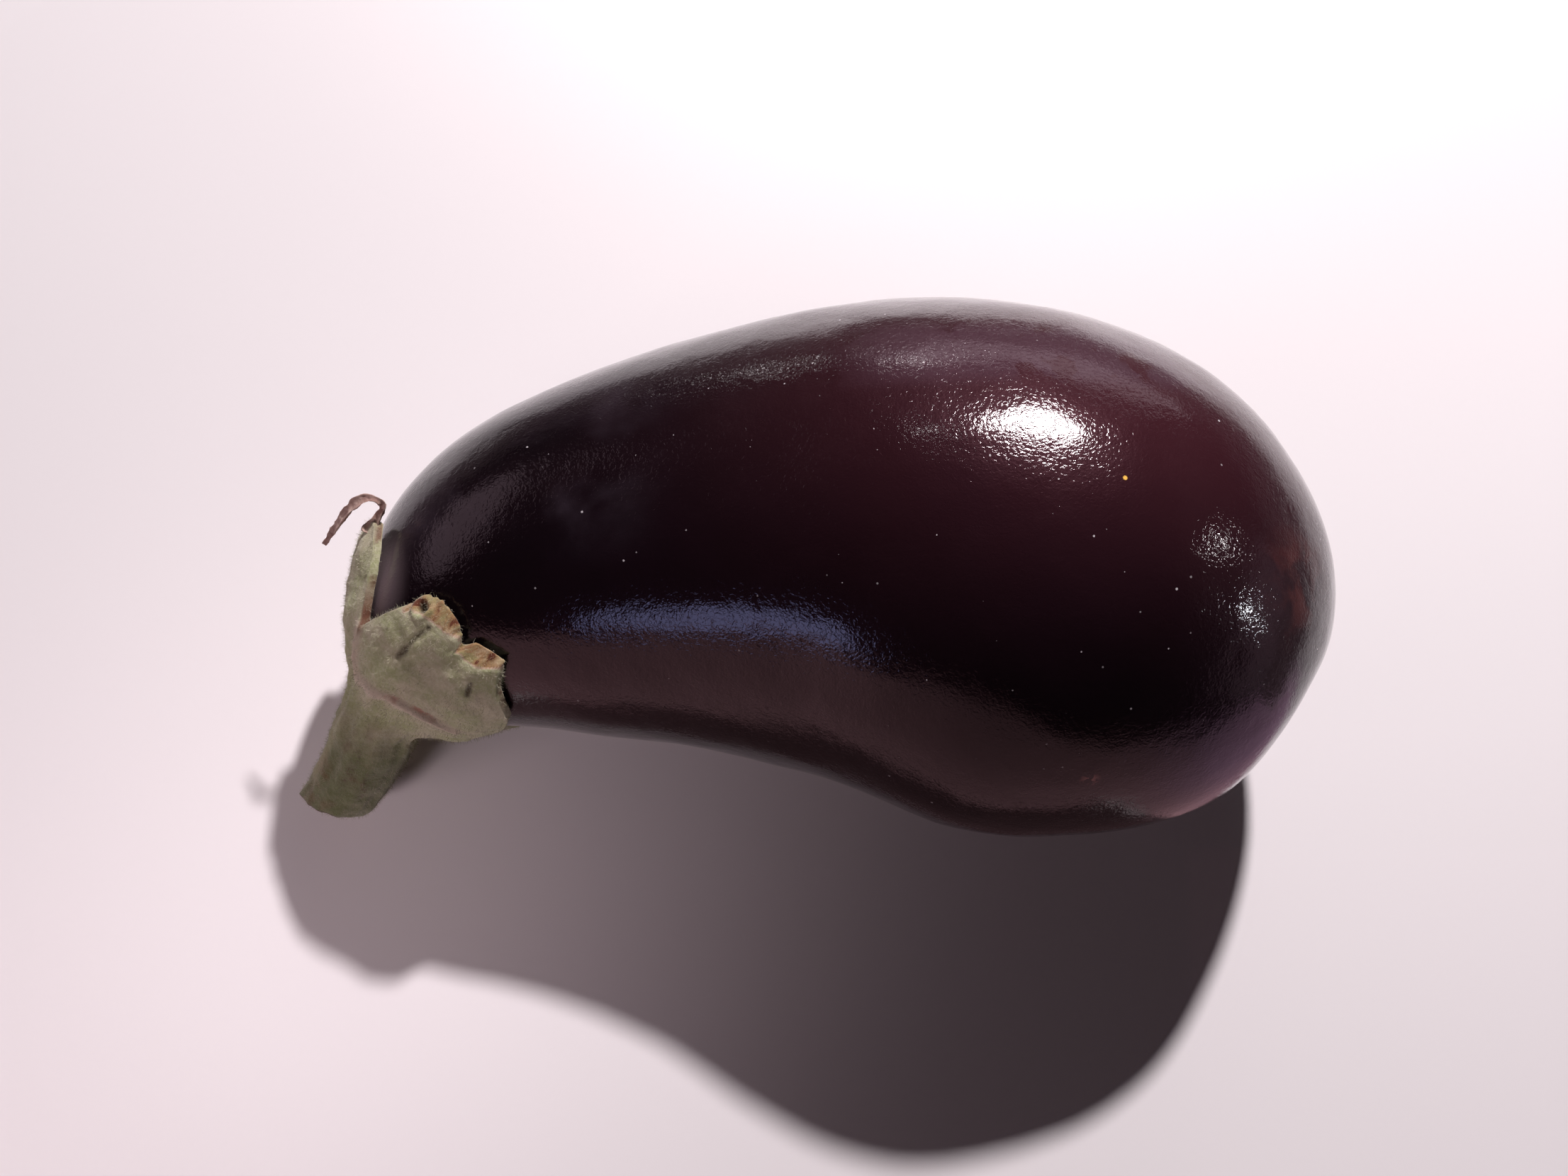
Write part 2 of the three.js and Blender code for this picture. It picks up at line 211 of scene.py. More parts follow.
# Light grey of the painted reflection beside the first sepal.
REFLECTION_GREY = (0.2, 0.15, 0.165)
END_RED = (0.06, 0.014, 0.013)
SCAR_RED = (0.26, 0.09, 0.08)
CORK_LIGHT = (0.13, 0.075, 0.045)
CORK_DARK = (0.055, 0.026, 0.02)
DUST_GREY = (0.42, 0.38, 0.4)
SPECK_YELLOW = (0.75, 0.42, 0.08)
CALYX_GREEN = (0.37, 0.375, 0.2)
CALYX_TAN = (0.48, 0.425, 0.3)
CALYX_WOOL = (0.6, 0.56, 0.42)
CALYX_SHEEN = (0.95, 0.93, 0.8, 1.0)
STEM_GREEN = (0.055, 0.068, 0.015)
STEM_STAIN = (0.125, 0.065, 0.032)
STREAK_BROWN = (0.07, 0.035, 0.02)
RIB_PALE = (0.5, 0.46, 0.3)
RIDGE_PALE = (0.6, 0.48, 0.4)
STREAK_PINK = (0.38, 0.15, 0.11)
CREASE_BROWN = (0.07, 0.05, 0.025)
RIM_RUST = (0.16, 0.06, 0.04)
NOTCH_RUST = (0.2, 0.075, 0.045)
TISSUE_CREAM = (0.43, 0.3, 0.18)
TISSUE_OLIVE = (0.31, 0.25, 0.115)
TISSUE_TAN = (0.3, 0.17, 0.08)
TISSUE_RUST = (0.13, 0.035, 0.015)
TORN_BORDER = (0.5, 0.33, 0.26)
HOLLOW_BROWN = (0.05, 0.032, 0.022)
CUT_RIM_BROWN = (0.045, 0.02, 0.014)
CUT_FACE_DARK = (0.12, 0.085, 0.04)
CUT_FACE_LIGHT = (0.24, 0.18, 0.1)
DRIED_DARK = (0.36, 0.21, 0.18)
DRIED_LIGHT = (0.62, 0.45, 0.39)
HAIR_DARK = (0.32, 0.3, 0.2)
HAIR_LIGHT = (0.52, 0.48, 0.38)
FLOOR_DARK = (0.815, 0.755, 0.775)
FLOOR_LIGHT = (0.825, 0.765, 0.785)

# Lamps: name, azimuth from +X towards +Y, elevation, distance and size in metres, brightness,
# colour, and what they face, in mm. The cards show only where the skin mirrors them.
PINK_WHITE = (1.0, 0.93, 0.95)
OVER_MIDDLE = (0, 0, 50)
SHINING_LAMPS = (
    ("key", 67.5, 49.8, 0.7, (0.036, 0.036), 2150, (1.0, 0.96, 0.97), OVER_MIDDLE),
    ("left_fill", -155, 30, 0.22, (0.08, 0.08), 6.0, (1.0, 0.8, 0.86), (-60, -60, 0)),
)
CARDS = (
    ("lamp_card", 82.6, 38, 0.95, (0.29, 0.23), 90, PINK_WHITE, (30, 10, 75)),
    ("wall_card", 75, 3.5, 0.9, (0.9, 0.2), 1.5, (1.0, 0.78, 0.87), OVER_MIDDLE),
    ("window_card", -133, 21.8, 0.0638, (0.0206, 0.0182), 3.4, (0.5, 0.52, 1.0), (-4, -15, 64)),
    ("left_card", 158, 22, 0.8, (0.7, 0.35), 0.85, (1.0, 0.72, 0.85), OVER_MIDDLE),
    ("right_card", -12, 5, 0.9, (0.9, 0.3), 0.3, (1.0, 0.65, 0.8), OVER_MIDDLE),
    ("small_right", 9.6, 24.6, 0.8, (0.024, 0.042), 120, PINK_WHITE, OVER_MIDDLE),
    ("small_right_low", -10.5, 13.8, 0.8, (0.026, 0.022), 260, (0.9, 0.93, 1.0), OVER_MIDDLE),
    ("small_back", 96, 6.5, 0.82, (0.07, 0.012), 50, PINK_WHITE, OVER_MIDDLE),
    ("small_back_left", 110, -0.5, 0.82, (0.04, 0.012), 30, PINK_WHITE, OVER_MIDDLE),
    ("small_back_high", 109, 42, 0.9, (0.03, 0.03), 45, PINK_WHITE, OVER_MIDDLE),
)
# Pools of light on the floor: name, place and target in metres, cone, energy and colour.
FLOOR_POOLS = (
    ("back_pool", (0.03, 0.19, 0.4), (0.03, 0.19, 0), 38, 3.0, (1.0, 1.0, 1.0)),
    ("left_pool", (-0.205, -0.225, 0.33), (-0.072, -0.045, 0), 21, 1.5, (1.0, 0.87, 0.9)),
)
ROOM_COLOUR = (1.0, 0.7, 0.88, 1.0)
ROOM_STRENGTH = 0.01

# The lit part of the floor that the skin mirrors, in mm: half an ellipse behind a middle, and
# straight sides in front of it. Outside it the sheet is (share of its size, glow).
POOL_MIDDLE_Y = 35
POOL_RADII = (190, 122)
POOL_FRONT_Y = -260
POOL_SHEET = ((0.97, 0.8), (1.07, 0.15), (8, 0.05))

# What the skin mirrors in front, in mm, as sheets: the shade next to the fruit as (x, glow), the
# floor to its right as (x, glow near, glow far), and what stands in front as (x, height, glow).
SHEET_FRONT = -98
SHADE_BACK = -48
SHADE_SHEET = ((-64, 0.2), (-30, 0.08), (0, 0.05), (64, 0.05))
RIGHT_SHEET_BACK = -40
RIGHT_SHEET = ((66, 0.3, 0.36), (110, 0.5, 0.54), (150, 0.7, 0.64), (200, 0.75, 0.7))
STANDING_SHEET = (
    (-170, 96, 0.9), (-85, 100, 0.9), (-60, 94, 0.75), (-33, 108, 0.5), (0, 106, 0.42), (32, 94, 0.42),
    (60, 78, 0.42), (85, 66, 0.46), (120, 64, 0.6), (200, 48, 0.75),
)
STANDING_FADE = 0.84
SHEET_HEIGHT = 0.3
FRONT_BROWN, FRONT_PURPLE = (1.0, 0.54, 0.6), (1.0, 0.58, 0.86)
FRONT_PURPLE_X = (0.06, 0.12)
POOL_DIM, POOL_LIT = (1.0, 0.66, 0.74), (1.0, 0.93, 0.95)
POOL_LIT_GLOW = (0.2, 0.8)


def smooth_curve(stations, values):
    """A natural cubic spline through values at the given stations."""
    at = np.array(stations, float)
    value = np.array(values, float)
    span = np.diff(at)
    slope = np.diff(value) / span
    matrix = np.eye(len(at))
    change = np.zeros(len(at))
    for i in range(1, len(at) - 1):
        matrix[i, i - 1 : i + 2] = span[i - 1], 2 * (span[i - 1] + span[i]), span[i]
        change[i] = 6 * (slope[i] - slope[i - 1])
    bend = np.linalg.solve(matrix, change)

    def curve(station):
        station = np.asarray(station, float)
        i = np.clip(np.searchsorted(at, station) - 1, 0, len(span) - 1)
        b = (station - at[i]) / span[i]
        a = 1 - b
        sag = ((a**3 - a) * bend[i] + (b**3 - b) * bend[i + 1]) * span[i] ** 2 / 6
        return a * value[i] + b * value[i + 1] + sag

    return curve


line_x = smooth_curve(LINE_STATIONS, LINE_X)
line_y = smooth_curve(LINE_STATIONS, LINE_Y)
line_z = smooth_curve(LINE_STATIONS, LINE_Z)
girth_radius = smooth_curve(GIRTH_STATIONS, GIRTH_RADIUS)


def unit(vectors):
    return vectors / np.linalg.norm(vectors, axis=-1, keepdims=True)


def smoothstep(values):
    share = np.clip(values, 0, 1)
    return share * share * (3 - 2 * share)


def centre_point(station):
    return np.stack([line_x(station), line_y(station), line_z(station)], -1)


def directions_at(station):
    """Along the centre line, level to the -Y side, and upwards."""
    step = 1e-4
    ahead = centre_point(np.minimum(station + step, 1))
    along = unit(ahead - centre_point(np.maximum(station - step, 0)))
    side = unit(np.cross(along, (0.0, 0.0, 1.0)))
    return along, side, np.cross(side, along)


def radius_at(station):
    bluntness = STEM_END_BLUNTNESS + (BLOSSOM_END_BLUNTNESS - STEM_END_BLUNTNESS) * station
    from_middle = np.abs(2 * station - 1) ** bluntness
    return girth_radius(station) * np.maximum(1 - from_middle, 0) ** (1 / bluntness)


def around(side, up, angle):
    return side * np.cos(angle)[..., None] + up * np.sin(angle)[..., None]


def skin_point(station, angle):
    station = np.asarray(station, float)
    along, side, up = directions_at(station)
    radius = radius_at(station)
    near_scar = np.where(station > 0.5, np.exp(-((radius / SCAR_DIMPLE_RADIUS) ** 2)), 0)
    sunk = centre_point(station) - along * (SCAR_DIMPLE_DEPTH * near_scar)[..., None]
    return sunk + around(side, up, np.asarray(angle, float)) * radius[..., None]


def station_at_reach(reach, angle):
    """Stations that lie at a reach over the skin from the stem's middle."""
    share = np.linspace(0, 0.6, 900)
    stations = (1 - np.cos(np.pi * share)) / 2
    found = np.zeros_like(reach)
    for k, turn in enumerate(angle):
        points = skin_point(stations, np.full_like(stations, turn))
        steps = np.linalg.norm(np.diff(points, axis=0), axis=1)
        walked = np.concatenate([[0], np.cumsum(steps)])
        found[..., k] = np.interp(reach[..., k], walked, stations)
    return found


def over_skin(reach, angle, lift):
    """Points at a lift above the skin, one column of reaches and lifts for each angle."""
    station = np.maximum(station_at_reach(reach, angle), 1e-5)
    turn = np.broadcast_to(angle, station.shape)
    step = np.minimum(1e-3, station / 2)
    along = skin_point(station + step, turn) - skin_point(station - step, turn)
    round_it = skin_point(station, turn + 0.01) - skin_point(station, turn - 0.01)
    outward = unit(np.cross(along, round_it))
    return skin_point(station, turn) + outward * lift[..., None]


def degrees_apart(a, b):
    return (a - b + 180) % 360 - 180


def select_vertices(mesh, chosen):
    """Selects the vertices of the mesh in edit mode that a list of numbers names, and no others."""
    bpy.ops.object.mode_set(mode="OBJECT")
    mesh.polygons.foreach_set("select", np.zeros(len(mesh.polygons), bool))
    mesh.edges.foreach_set("select", np.zeros(len(mesh.edges), bool))
    marks = np.zeros(len(mesh.vertices), bool)
    marks[chosen] = True
    mesh.vertices.foreach_set("select", marks)
    bpy.ops.object.mode_set(mode="EDIT")
    bpy.ops.mesh.select_mode(type="VERT")


def vertex_places(mesh):
    flat = np.empty(len(mesh.vertices) * 3)
    mesh.vertices.foreach_get("co", flat)
    return flat.reshape(-1, 3)


def make_only_active(piece):
    bpy.ops.object.select_all(action="DESELECT")
    piece.select_set(True)
    bpy.context.view_layer.objects.active = piece


def add_weights(piece, name, weights):
    """A vertex group with one weight for each vertex, in steps of a hundredth."""
    group = piece.vertex_groups.new(name=name)
    steps = np.round(weights * 100).astype(int)
    for step in np.unique(steps[steps > 0]):
        group.add(np.flatnonzero(steps == step).tolist(), step / 100, "REPLACE")


def displace(piece, name, size, height, weights, depth=1):
    """Pushes a piece's surface in and out by a cloudy pattern, and applies it."""
    pattern = bpy.data.textures.new(name, "CLOUDS")
    pattern.noise_scale = size
    pattern.noise_depth = depth
    modifier = piece.modifiers.new(name, "DISPLACE")
    modifier.texture = pattern
    modifier.texture_coords = "LOCAL"
    modifier.strength = height
    modifier.mid_level = 0.5
    modifier.vertex_group = weights
    bpy.ops.object.modifier_apply(modifier=name)


def store(mesh, name, values):
    attribute = mesh.attributes.new(name, "FLOAT", "POINT")
    attribute.data.foreach_set("value", np.ascontiguousarray(values, np.float32).ravel())


def set_ring(mesh, ring, station):
    """Sets one ring of the upright ball on the fruit's bent line: its size, tilt and place."""
    along, _, _ = directions_at(station)
    height = mesh.vertices[ring[0]].co.z
    width = math.hypot(mesh.vertices[ring[0]].co.x, mesh.vertices[ring[0]].co.y)
    radius = radius_at(station) / SUBDIVISION_SHRINKAGE * MM
    place = centre_point(station) * MM
    sink = math.exp(-((radius / MM / SCAR_DIMPLE_RADIUS) ** 2)) if station > 0.5 else 0
    place = place - along * SCAR_DIMPLE_DEPTH * sink * MM
    tilt = Vector((0, 0, 1)).rotation_difference(Vector(along)).to_euler("XYZ")
    middle = (0, 0, height)
    select_vertices(mesh, ring)
    if width > 0:
        bpy.ops.transform.resize(value=(radius / width,) * 2 + (1,), center_override=middle)
    for axis, turn in zip("XYZ", tilt):
        bpy.ops.transform.rotate(value=-turn, orient_axis=axis, center_override=middle)
    bpy.ops.transform.translate(value=(place[0], place[1], place[2] - height))


def add_fruit():
    """A ball whose rings are set along the bent line, then smoothed, and given its bulges and dents."""
    bpy.ops.object.select_all(action="DESELECT")
    bpy.ops.mesh.primitive_uv_sphere_add(segments=FRUIT_SIDES, ring_count=FRUIT_RINGS, radius=1)
    piece = bpy.context.object
    piece.name = "fruit_skin"
    mesh = piece.data
    heights = np.round(vertex_places(mesh)[:, 2], 5)
    rings = [np.flatnonzero(heights == height) for height in np.unique(heights)]
    for number, ring in enumerate(rings):
        station = (1 - math.cos(math.pi * number / FRUIT_RINGS)) / 2
        set_ring(mesh, ring, station)
    bpy.ops.mesh.select_all(action="SELECT")
    bpy.ops.mesh.normals_make_consistent(inside=False)
    bpy.ops.object.mode_set(mode="OBJECT")
    smoother = piece.modifiers.new("smooth", "SUBSURF")
    smoother.levels = smoother.render_levels = FRUIT_SUBDIVISIONS
    bpy.ops.object.modifier_apply(modifier="smooth")
    places = vertex_places(mesh) / MM
    height = places[:, 2]
    from_stem = np.linalg.norm(places - centre_point(0), axis=1)
    off_belly = smoothstep((height - SMOOTH_BELLY[0]) / SMOOTH_BELLY[1])
    off_calyx = smoothstep((from_stem - SMOOTH_UNDER_CALYX[0]) / SMOOTH_UNDER_CALYX[1])
    add_weights(piece, "free_skin", off_belly * off_calyx)
    displace(piece, "bulges", BULGE_SIZE, BULGE_HEIGHT, "free_skin")
    displace(piece, "dents", DENT_SIZE, DENT_DEPTH, "free_skin", depth=2)
    below = np.flatnonzero(vertex_places(mesh)[:, 2] < 0)
    select_vertices(mesh, below)
    bpy.ops.transform.resize(value=(1, 1, 0), center_override=(0, 0, 0))
    bpy.ops.object.mode_set(mode="OBJECT")
    places = vertex_places(mesh) / MM
    store(mesh, "from_scar", np.linalg.norm(places - centre_point(1.0), axis=1))
    piece.vertex_groups.clear()
    bpy.ops.object.shade_smooth()
    return piece


def calyx_edge(degrees):
    """At each angle: the reach of the edge, how far it stands off, the rib, and the torn width."""
    reach = np.full_like(degrees, CAP_REACH)
    lift = np.zeros_like(degrees)
    rib = np.zeros_like(degrees)
    for sepal in SEPALS:
        offset = degrees_apart(degrees, sepal["middle"])
        half = np.where(offset < 0, sepal["before"], sepal["after"])
        share = 1 - np.minimum(np.abs(offset) / half, 1) ** sepal["roundness"]
        reach = np.maximum(reach, CAP_REACH + (sepal["tip_reach"] - CAP_REACH) * share)
        lift = np.maximum(lift, sepal["lift"] * share)
        rib = np.maximum(rib, np.exp(-((offset / RIB_HALF_ANGLE) ** 2)))
    round_from_front = degrees_apart(degrees, 0)
    shown_at, shown_reach = np.array(SHOWN_EDGE).T
    shown = (round_from_front >= shown_at[0]) & (round_from_front <= shown_at[-1])
    reach = np.where(shown, np.interp(round_from_front, shown_at, shown_reach), reach)
    for _ in range(2):
        reach = (np.roll(reach, 1) + 2 * reach + np.roll(reach, -1)) / 4
    torn_at, torn_width = np.array(TORN_WIDTH).T
    torn = np.interp(round_from_front, torn_at, torn_width, left=0, right=0)
    return reach, lift, rib, torn


def stem_line(share):
    """A point of the stem's middle line, and its heading there."""
    ends = np.array([centre_point(0.0), STEM_BEND_NEAR_FRUIT, STEM_BEND_NEAR_CUT, STEM_CUT_CENTRE])
    t = share
    weights = np.array([(1 - t) ** 3, 3 * t * (1 - t) ** 2, 3 * t**2 * (1 - t), t**3])
    slopes = np.array([-3 * (1 - t) ** 2, 3 * (1 - t) * (1 - 3 * t), 3 * t * (2 - 3 * t), 3 * t**2])
    return weights @ ends, unit(slopes @ ends)


STEM_LENGTH = sum(
    np.linalg.norm(stem_line((i + 1) / 100)[0] - stem_line(i / 100)[0]) for i in range(100)
)


def stem_ring(share, angle, rib, radius_share=1.0):
    """One ring of the stem, slanted to the cut near its end."""
    along, side, up = directions_at(0.0)
    point, heading = stem_line(share)
    bent = Vector(-along).rotation_difference(Vector(heading)).to_matrix()
    outward = around(side, up, angle) @ np.array(bent).T
    radius = STEM_BASE_RADIUS + (STEM_RADIUS - STEM_BASE_RADIUS) * share
    ribs = STEM_RIDGE * (rib - 0.5)
    ring = point + outward * ((radius + ribs) * radius_share)[..., None]
    facing = unit(np.array(STEM_CUT_FACING))
    slide = (np.array(STEM_CUT_CENTRE) - ring) @ facing / (heading @ facing)
    slant = smoothstep((share - STEM_CUT_SLANT_FROM) / (1 - STEM_CUT_SLANT_FROM))
    return ring + heading * (slant * (slide - STEM_LENGTH * (1 - share)))[..., None]


def calyx_rings():
    """The calyx and stem as rings of points, from the cut's middle to the lining's middle,
    with what each ring knows of its place: how far down the stem, and how far in from the edge."""
    angle = np.linspace(0, 2 * np.pi, CALYX_SIDES, endpoint=False)
    edge_reach, edge_lift, rib, torn = calyx_edge(np.degrees(angle))
    facing = unit(np.array(STEM_CUT_FACING))
    rings, along_stem, inset = [], [], []

    def add(points, stem_share, from_edge):
        rings.append(points)
        along_stem.append(np.full(CALYX_SIDES, stem_share))
        inset.append(np.broadcast_to(from_edge, CALYX_SIDES))

    far = np.full(CALYX_SIDES, 99.0)
    for radius_share in np.linspace(0.06, 0.88, 9):
        hollow = CUT_FACE_HOLLOW * (1 - radius_share**2)
        flat = stem_ring(1.0, angle, rib, np.full(CALYX_SIDES, radius_share)) - facing * hollow
        add(flat, 1.15, far)
    for turn in np.radians((90, 67, 45, 22)):
        backed = CUT_RIM_ROUNDING * (1 - math.sin(turn))
        inward = CUT_RIM_ROUNDING * (1 - math.cos(turn)) / STEM_RADIUS
        rim = stem_ring(1.0, angle, rib, np.full(CALYX_SIDES, 1 - inward))
        add(rim - facing * backed, 1.0, far)
    for share in np.linspace(0.975, STEM_FREE_FROM, 42):
        add(stem_ring(share, angle, rib, np.ones(CALYX_SIDES)), share, far)
    cap_top = CALYX_GAP + CAP_THICKNESS + CAP_THICKNESS_SWING * np.cos(angle) + RIB_HEIGHT * rib
    flare_end = FLARE_REACH + FLARE_REACH_SWING * np.cos(angle - math.radians(FLARE_WIDEST_ANGLE))
    start = rings[-1]
    corner = over_skin((flare_end * FLARE_CORNER_SHARE)[None], angle, cap_top[None])[0]
    end = over_skin(flare_end[None], angle, cap_top[None])[0]
    for t in np.linspace(0, 1, 17)[1:]:
        point = start * (1 - t) ** 2 + corner * 2 * t * (1 - t) + end * t**2
        add(point, STEM_FREE_FROM * (1 - t), edge_reach - flare_end * t)
    edge_top = CALYX_GAP + edge_lift + EDGE_THICKNESS + RIB_HEIGHT * rib / 2
    edge_foot = CALYX_GAP + edge_lift
    edge_middle = (edge_top + edge_foot) / 2
    share = np.linspace(0, 1, CALYX_EDGE_RINGS)[1:, None]
    reach = flare_end + (edge_reach - flare_end) * share
    lift = cap_top + (edge_top - cap_top) * share**2
    from_edge = edge_reach - reach
    slope = np.clip(1 - from_edge / np.maximum(torn, 0.01), 0, 1)
    lift = lift - slope * (edge_top - edge_foot) * 0.75
    top = over_skin(reach, angle, lift)
    for points, from_this in zip(top, from_edge):
        add(points, 0.0, from_this)
    last_lift = lift[-1]
    rounding = 0.45 * (last_lift - edge_foot)
    for turn in np.radians((30, 60, 90, 120, 150)):
        out = rounding * math.sin(turn)
        height = (last_lift + edge_foot) / 2 + (last_lift - edge_foot) / 2 * math.cos(turn)
        add(over_skin((edge_reach + out)[None], angle, height[None])[0], 0.0, -out)
    share = np.linspace(1, 0, 17)[:-1, None]
    foot = CALYX_GAP + (edge_foot - CALYX_GAP) * share**3
    lining = over_skin(edge_reach * share, angle, foot * np.ones(CALYX_SIDES))
    for points in lining:
        add(points, 0.0, -9.0)
    along, _, _ = directions_at(0.0)
    lining_middle = centre_point(0.0) - along * CALYX_GAP
    cut_middle = np.array(STEM_CUT_CENTRE) - facing * CUT_FACE_HOLLOW
    return cut_middle, rings, lining_middle, np.array(along_stem), np.array(inset), torn, angle


def closed_mesh(name, first_pole, rings, last_pole):
    """A closed mesh from rings of equal point counts, with a point at each end, in mm."""
    sides = len(rings[0])
    points = np.concatenate([[first_pole], *rings, [last_pole]]) * MM
    here = 1 + np.arange(sides)
    after = np.roll(here, -1)
    faces = [(0, a, b) for a, b in zip(here, after)]
    for ring in range(len(rings) - 1):
        low, high = here + ring * sides, after + ring * sides
        faces += list(zip(low, low + sides, high + sides, high))
    base = (len(rings) - 1) * sides
    faces += [(a + base, len(points) - 1, b + base) for a, b in zip(here, after)]
    mesh = bpy.data.meshes.new(name)
    mesh.from_pydata(points.tolist(), [], faces)
    piece = bpy.data.objects.new(name, mesh)
    bpy.context.scene.collection.objects.link(piece)
    make_only_active(piece)
    bpy.ops.object.mode_set(mode="EDIT")
    bpy.ops.mesh.select_all(action="SELECT")
    bpy.ops.mesh.normals_make_consistent(inside=False)
    bpy.ops.object.mode_set(mode="OBJECT")
    bpy.ops.object.shade_smooth()
    return piece


def distance_to_path(points, path):
    """The distance of each point to the nearest stretch of a path."""
    nearest = np.full(len(points), np.inf)
    for a, b in zip(path[:-1], path[1:]):
        step = b - a
        share = np.clip((points - a) @ step / (step @ step), 0, 1)
        away = np.linalg.norm(points - a - share[:, None] * step, axis=1)
        nearest = np.minimum(nearest, away)
    return nearest


def ring_values(values):
    """One value for each vertex, from one for each point of the rings."""
    return np.concatenate([[values[0].mean()], values.ravel(), [values[-1].mean()]])


def push_along_normals(mesh, heights):
    """Moves each vertex along its own normal by a height in mm."""
    normals = np.empty(len(mesh.vertices) * 3)
    mesh.vertex_normals.foreach_get("vector", normals)
    moved = vertex_places(mesh) + normals.reshape(-1, 3) * heights[:, None] * MM
    mesh.vertices.foreach_set("co", moved.ravel())
    mesh.update()


def raised(distance, relief):
    """The low relief at a distance from a line, given its height and half width."""
    height, half_width = relief
    return height * np.exp(-((distance / half_width) ** 2))


def add_calyx():
    """The calyx and stem over the fruit's own skin, with ridge, crease, furrows and torn edges."""
    first, rings, last, along_stem, inset, torn, angle = calyx_rings()
    piece = closed_mesh("calyx_and_stem_woolly", first, rings, last)
    mesh = piece.data
    down_stem = ring_values(along_stem)
    from_edge = ring_values(inset)
    degrees = ring_values(np.broadcast_to(np.degrees(angle), inset.shape))
    torn_here = ring_values(np.broadcast_to(torn, inset.shape))
    places = vertex_places(mesh) / MM
    outer = (from_edge > -5).astype(float)
    ridge = distance_to_path(places, np.array(RIDGE_LINE))
    pink = distance_to_path(places, np.array(PINK_LINE))
    crease = distance_to_path(places, np.array(CREASE_LINE))
    dark = distance_to_path(places, np.array(DARK_MARK))
    streaks = [distance_to_path(places, np.array(streak)) for streak in STEM_STREAKS]
    pale_rib = distance_to_path(places, np.array(PALE_RIB))
    hollow = np.linalg.norm(places - CURLED_HOLLOW, axis=1)
    on_stem = smoothstep((down_stem - 0.02) / 0.2) * smoothstep((1.0 - down_stem) / 0.15)
    turn = np.radians(degrees)
    furrows = 0.5 * np.sin(9 * turn + 1.3) + 0.3 * np.sin(16 * turn + 0.4) + 0.2 * np.sin(5 * turn)
    relief = raised(ridge, RIDGE_RELIEF) * outer
    relief += raised(pink, PINK_RELIEF) * outer
    relief += raised(crease, CREASE_RELIEF) * outer
    relief += raised(dark, DARK_MARK_RELIEF) * outer
    relief += FURROW_HEIGHT * furrows * on_stem + raised(pale_rib, PALE_RIB_RELIEF)
    torn_band = smoothstep((torn_here - from_edge) / 0.5) * (torn_here > 0.2) * (from_edge > -1)
    fibre_waves = np.sin(degrees * 1.2 + 4 * np.sin(degrees * 0.35))
    relief += TORN_FIBRE_HEIGHT * torn_band * fibre_waves
    lip = raised(hollow - HOLLOW_LIP_RADIUS, HOLLOW_LIP_RELIEF)
    relief += (lip + raised(hollow, HOLLOW_RELIEF)) * outer
    push_along_normals(mesh, relief)
    add_weights(piece, "outside", outer * (0.35 + 0.65 * smoothstep(from_edge / 3)))
    add_weights(piece, "torn_edge", np.clip(torn_band, 0, 1))
    displace(piece, "calyx_lumps", *CALYX_LUMPS, "outside", depth=1)
    displace(piece, "calyx_wrinkles", *CALYX_WRINKLES, "outside", depth=2)
    displace(piece, "torn_fibres", *TORN_FIBRES, "torn_edge", depth=2)
    piece.vertex_groups.clear()
    store(mesh, "down_stem", down_stem)
    store(mesh, "from_edge", from_edge)
    store(mesh, "torn", torn_band)
    store(mesh, "from_ridge", ridge)
    store(mesh, "from_pink", pink)
    store(mesh, "from_dark", np.minimum(crease, dark))
    store(mesh, "from_streak", np.minimum(*streaks))
    store(mesh, "from_pale_rib", pale_rib)
    store(mesh, "from_hollow", hollow)
    store(mesh, "degrees_round", degrees)
    return piece


def add_dried_tip():
    """The shrivelled ribbon, swept along its route with its own width at each place."""
    route = np.array(DRIED_TIP_ROUTE)
    spans = np.linalg.norm(np.diff(route, axis=0), axis=1)
    stations = np.concatenate([[0], np.cumsum(spans)]) / spans.sum()
    curves = [smooth_curve(stations, route[:, axis]) for axis in range(3)]
    width_at = smooth_curve(stations, DRIED_TIP_WIDTHS)
    rings = []
    turn = np.linspace(0, 2 * np.pi, DRIED_TIP_SIDES, endpoint=False)
    for share in np.linspace(0, 1, DRIED_TIP_RINGS):
        here = np.array([curve(share) for curve in curves])
        ahead = np.array([curve(min(share + 0.01, 1)) for curve in curves])
        behind = np.array([curve(max(share - 0.01, 0)) for curve in curves])
        heading = unit(ahead - behind)
        flat = unit(np.cross(heading, (0.0, 0.0, 1.0)))
        face = np.cross(flat, heading)
        twist = DRIED_TIP_TWIST * math.sin(7 * share)
        flat, face = (
            flat * math.cos(twist) + face * math.sin(twist),
            face * math.cos(twist) - flat * math.sin(twist),
        )
        ragged = 1 + 0.12 * math.sin(31 * share) + 0.08 * math.sin(53 * share)
        half = width_at(share) / 2 * ragged
        cup = DRIED_TIP_CUP * half * np.cos(2 * turn)
        thick = DRIED_TIP_THICKNESS / 2 * np.sin(turn)
        ring = here + flat * (half * np.cos(turn))[:, None] + face * (thick + cup)[:, None]
        rings.append(ring)
    piece = closed_mesh("dried_tip", rings[0].mean(0), rings, rings[-1].mean(0))
    add_weights(piece, "all", np.ones(len(piece.data.vertices)))
    displace(piece, "shrivel", *SHRIVEL, "all", depth=2)
    piece.vertex_groups.clear()
    return piece


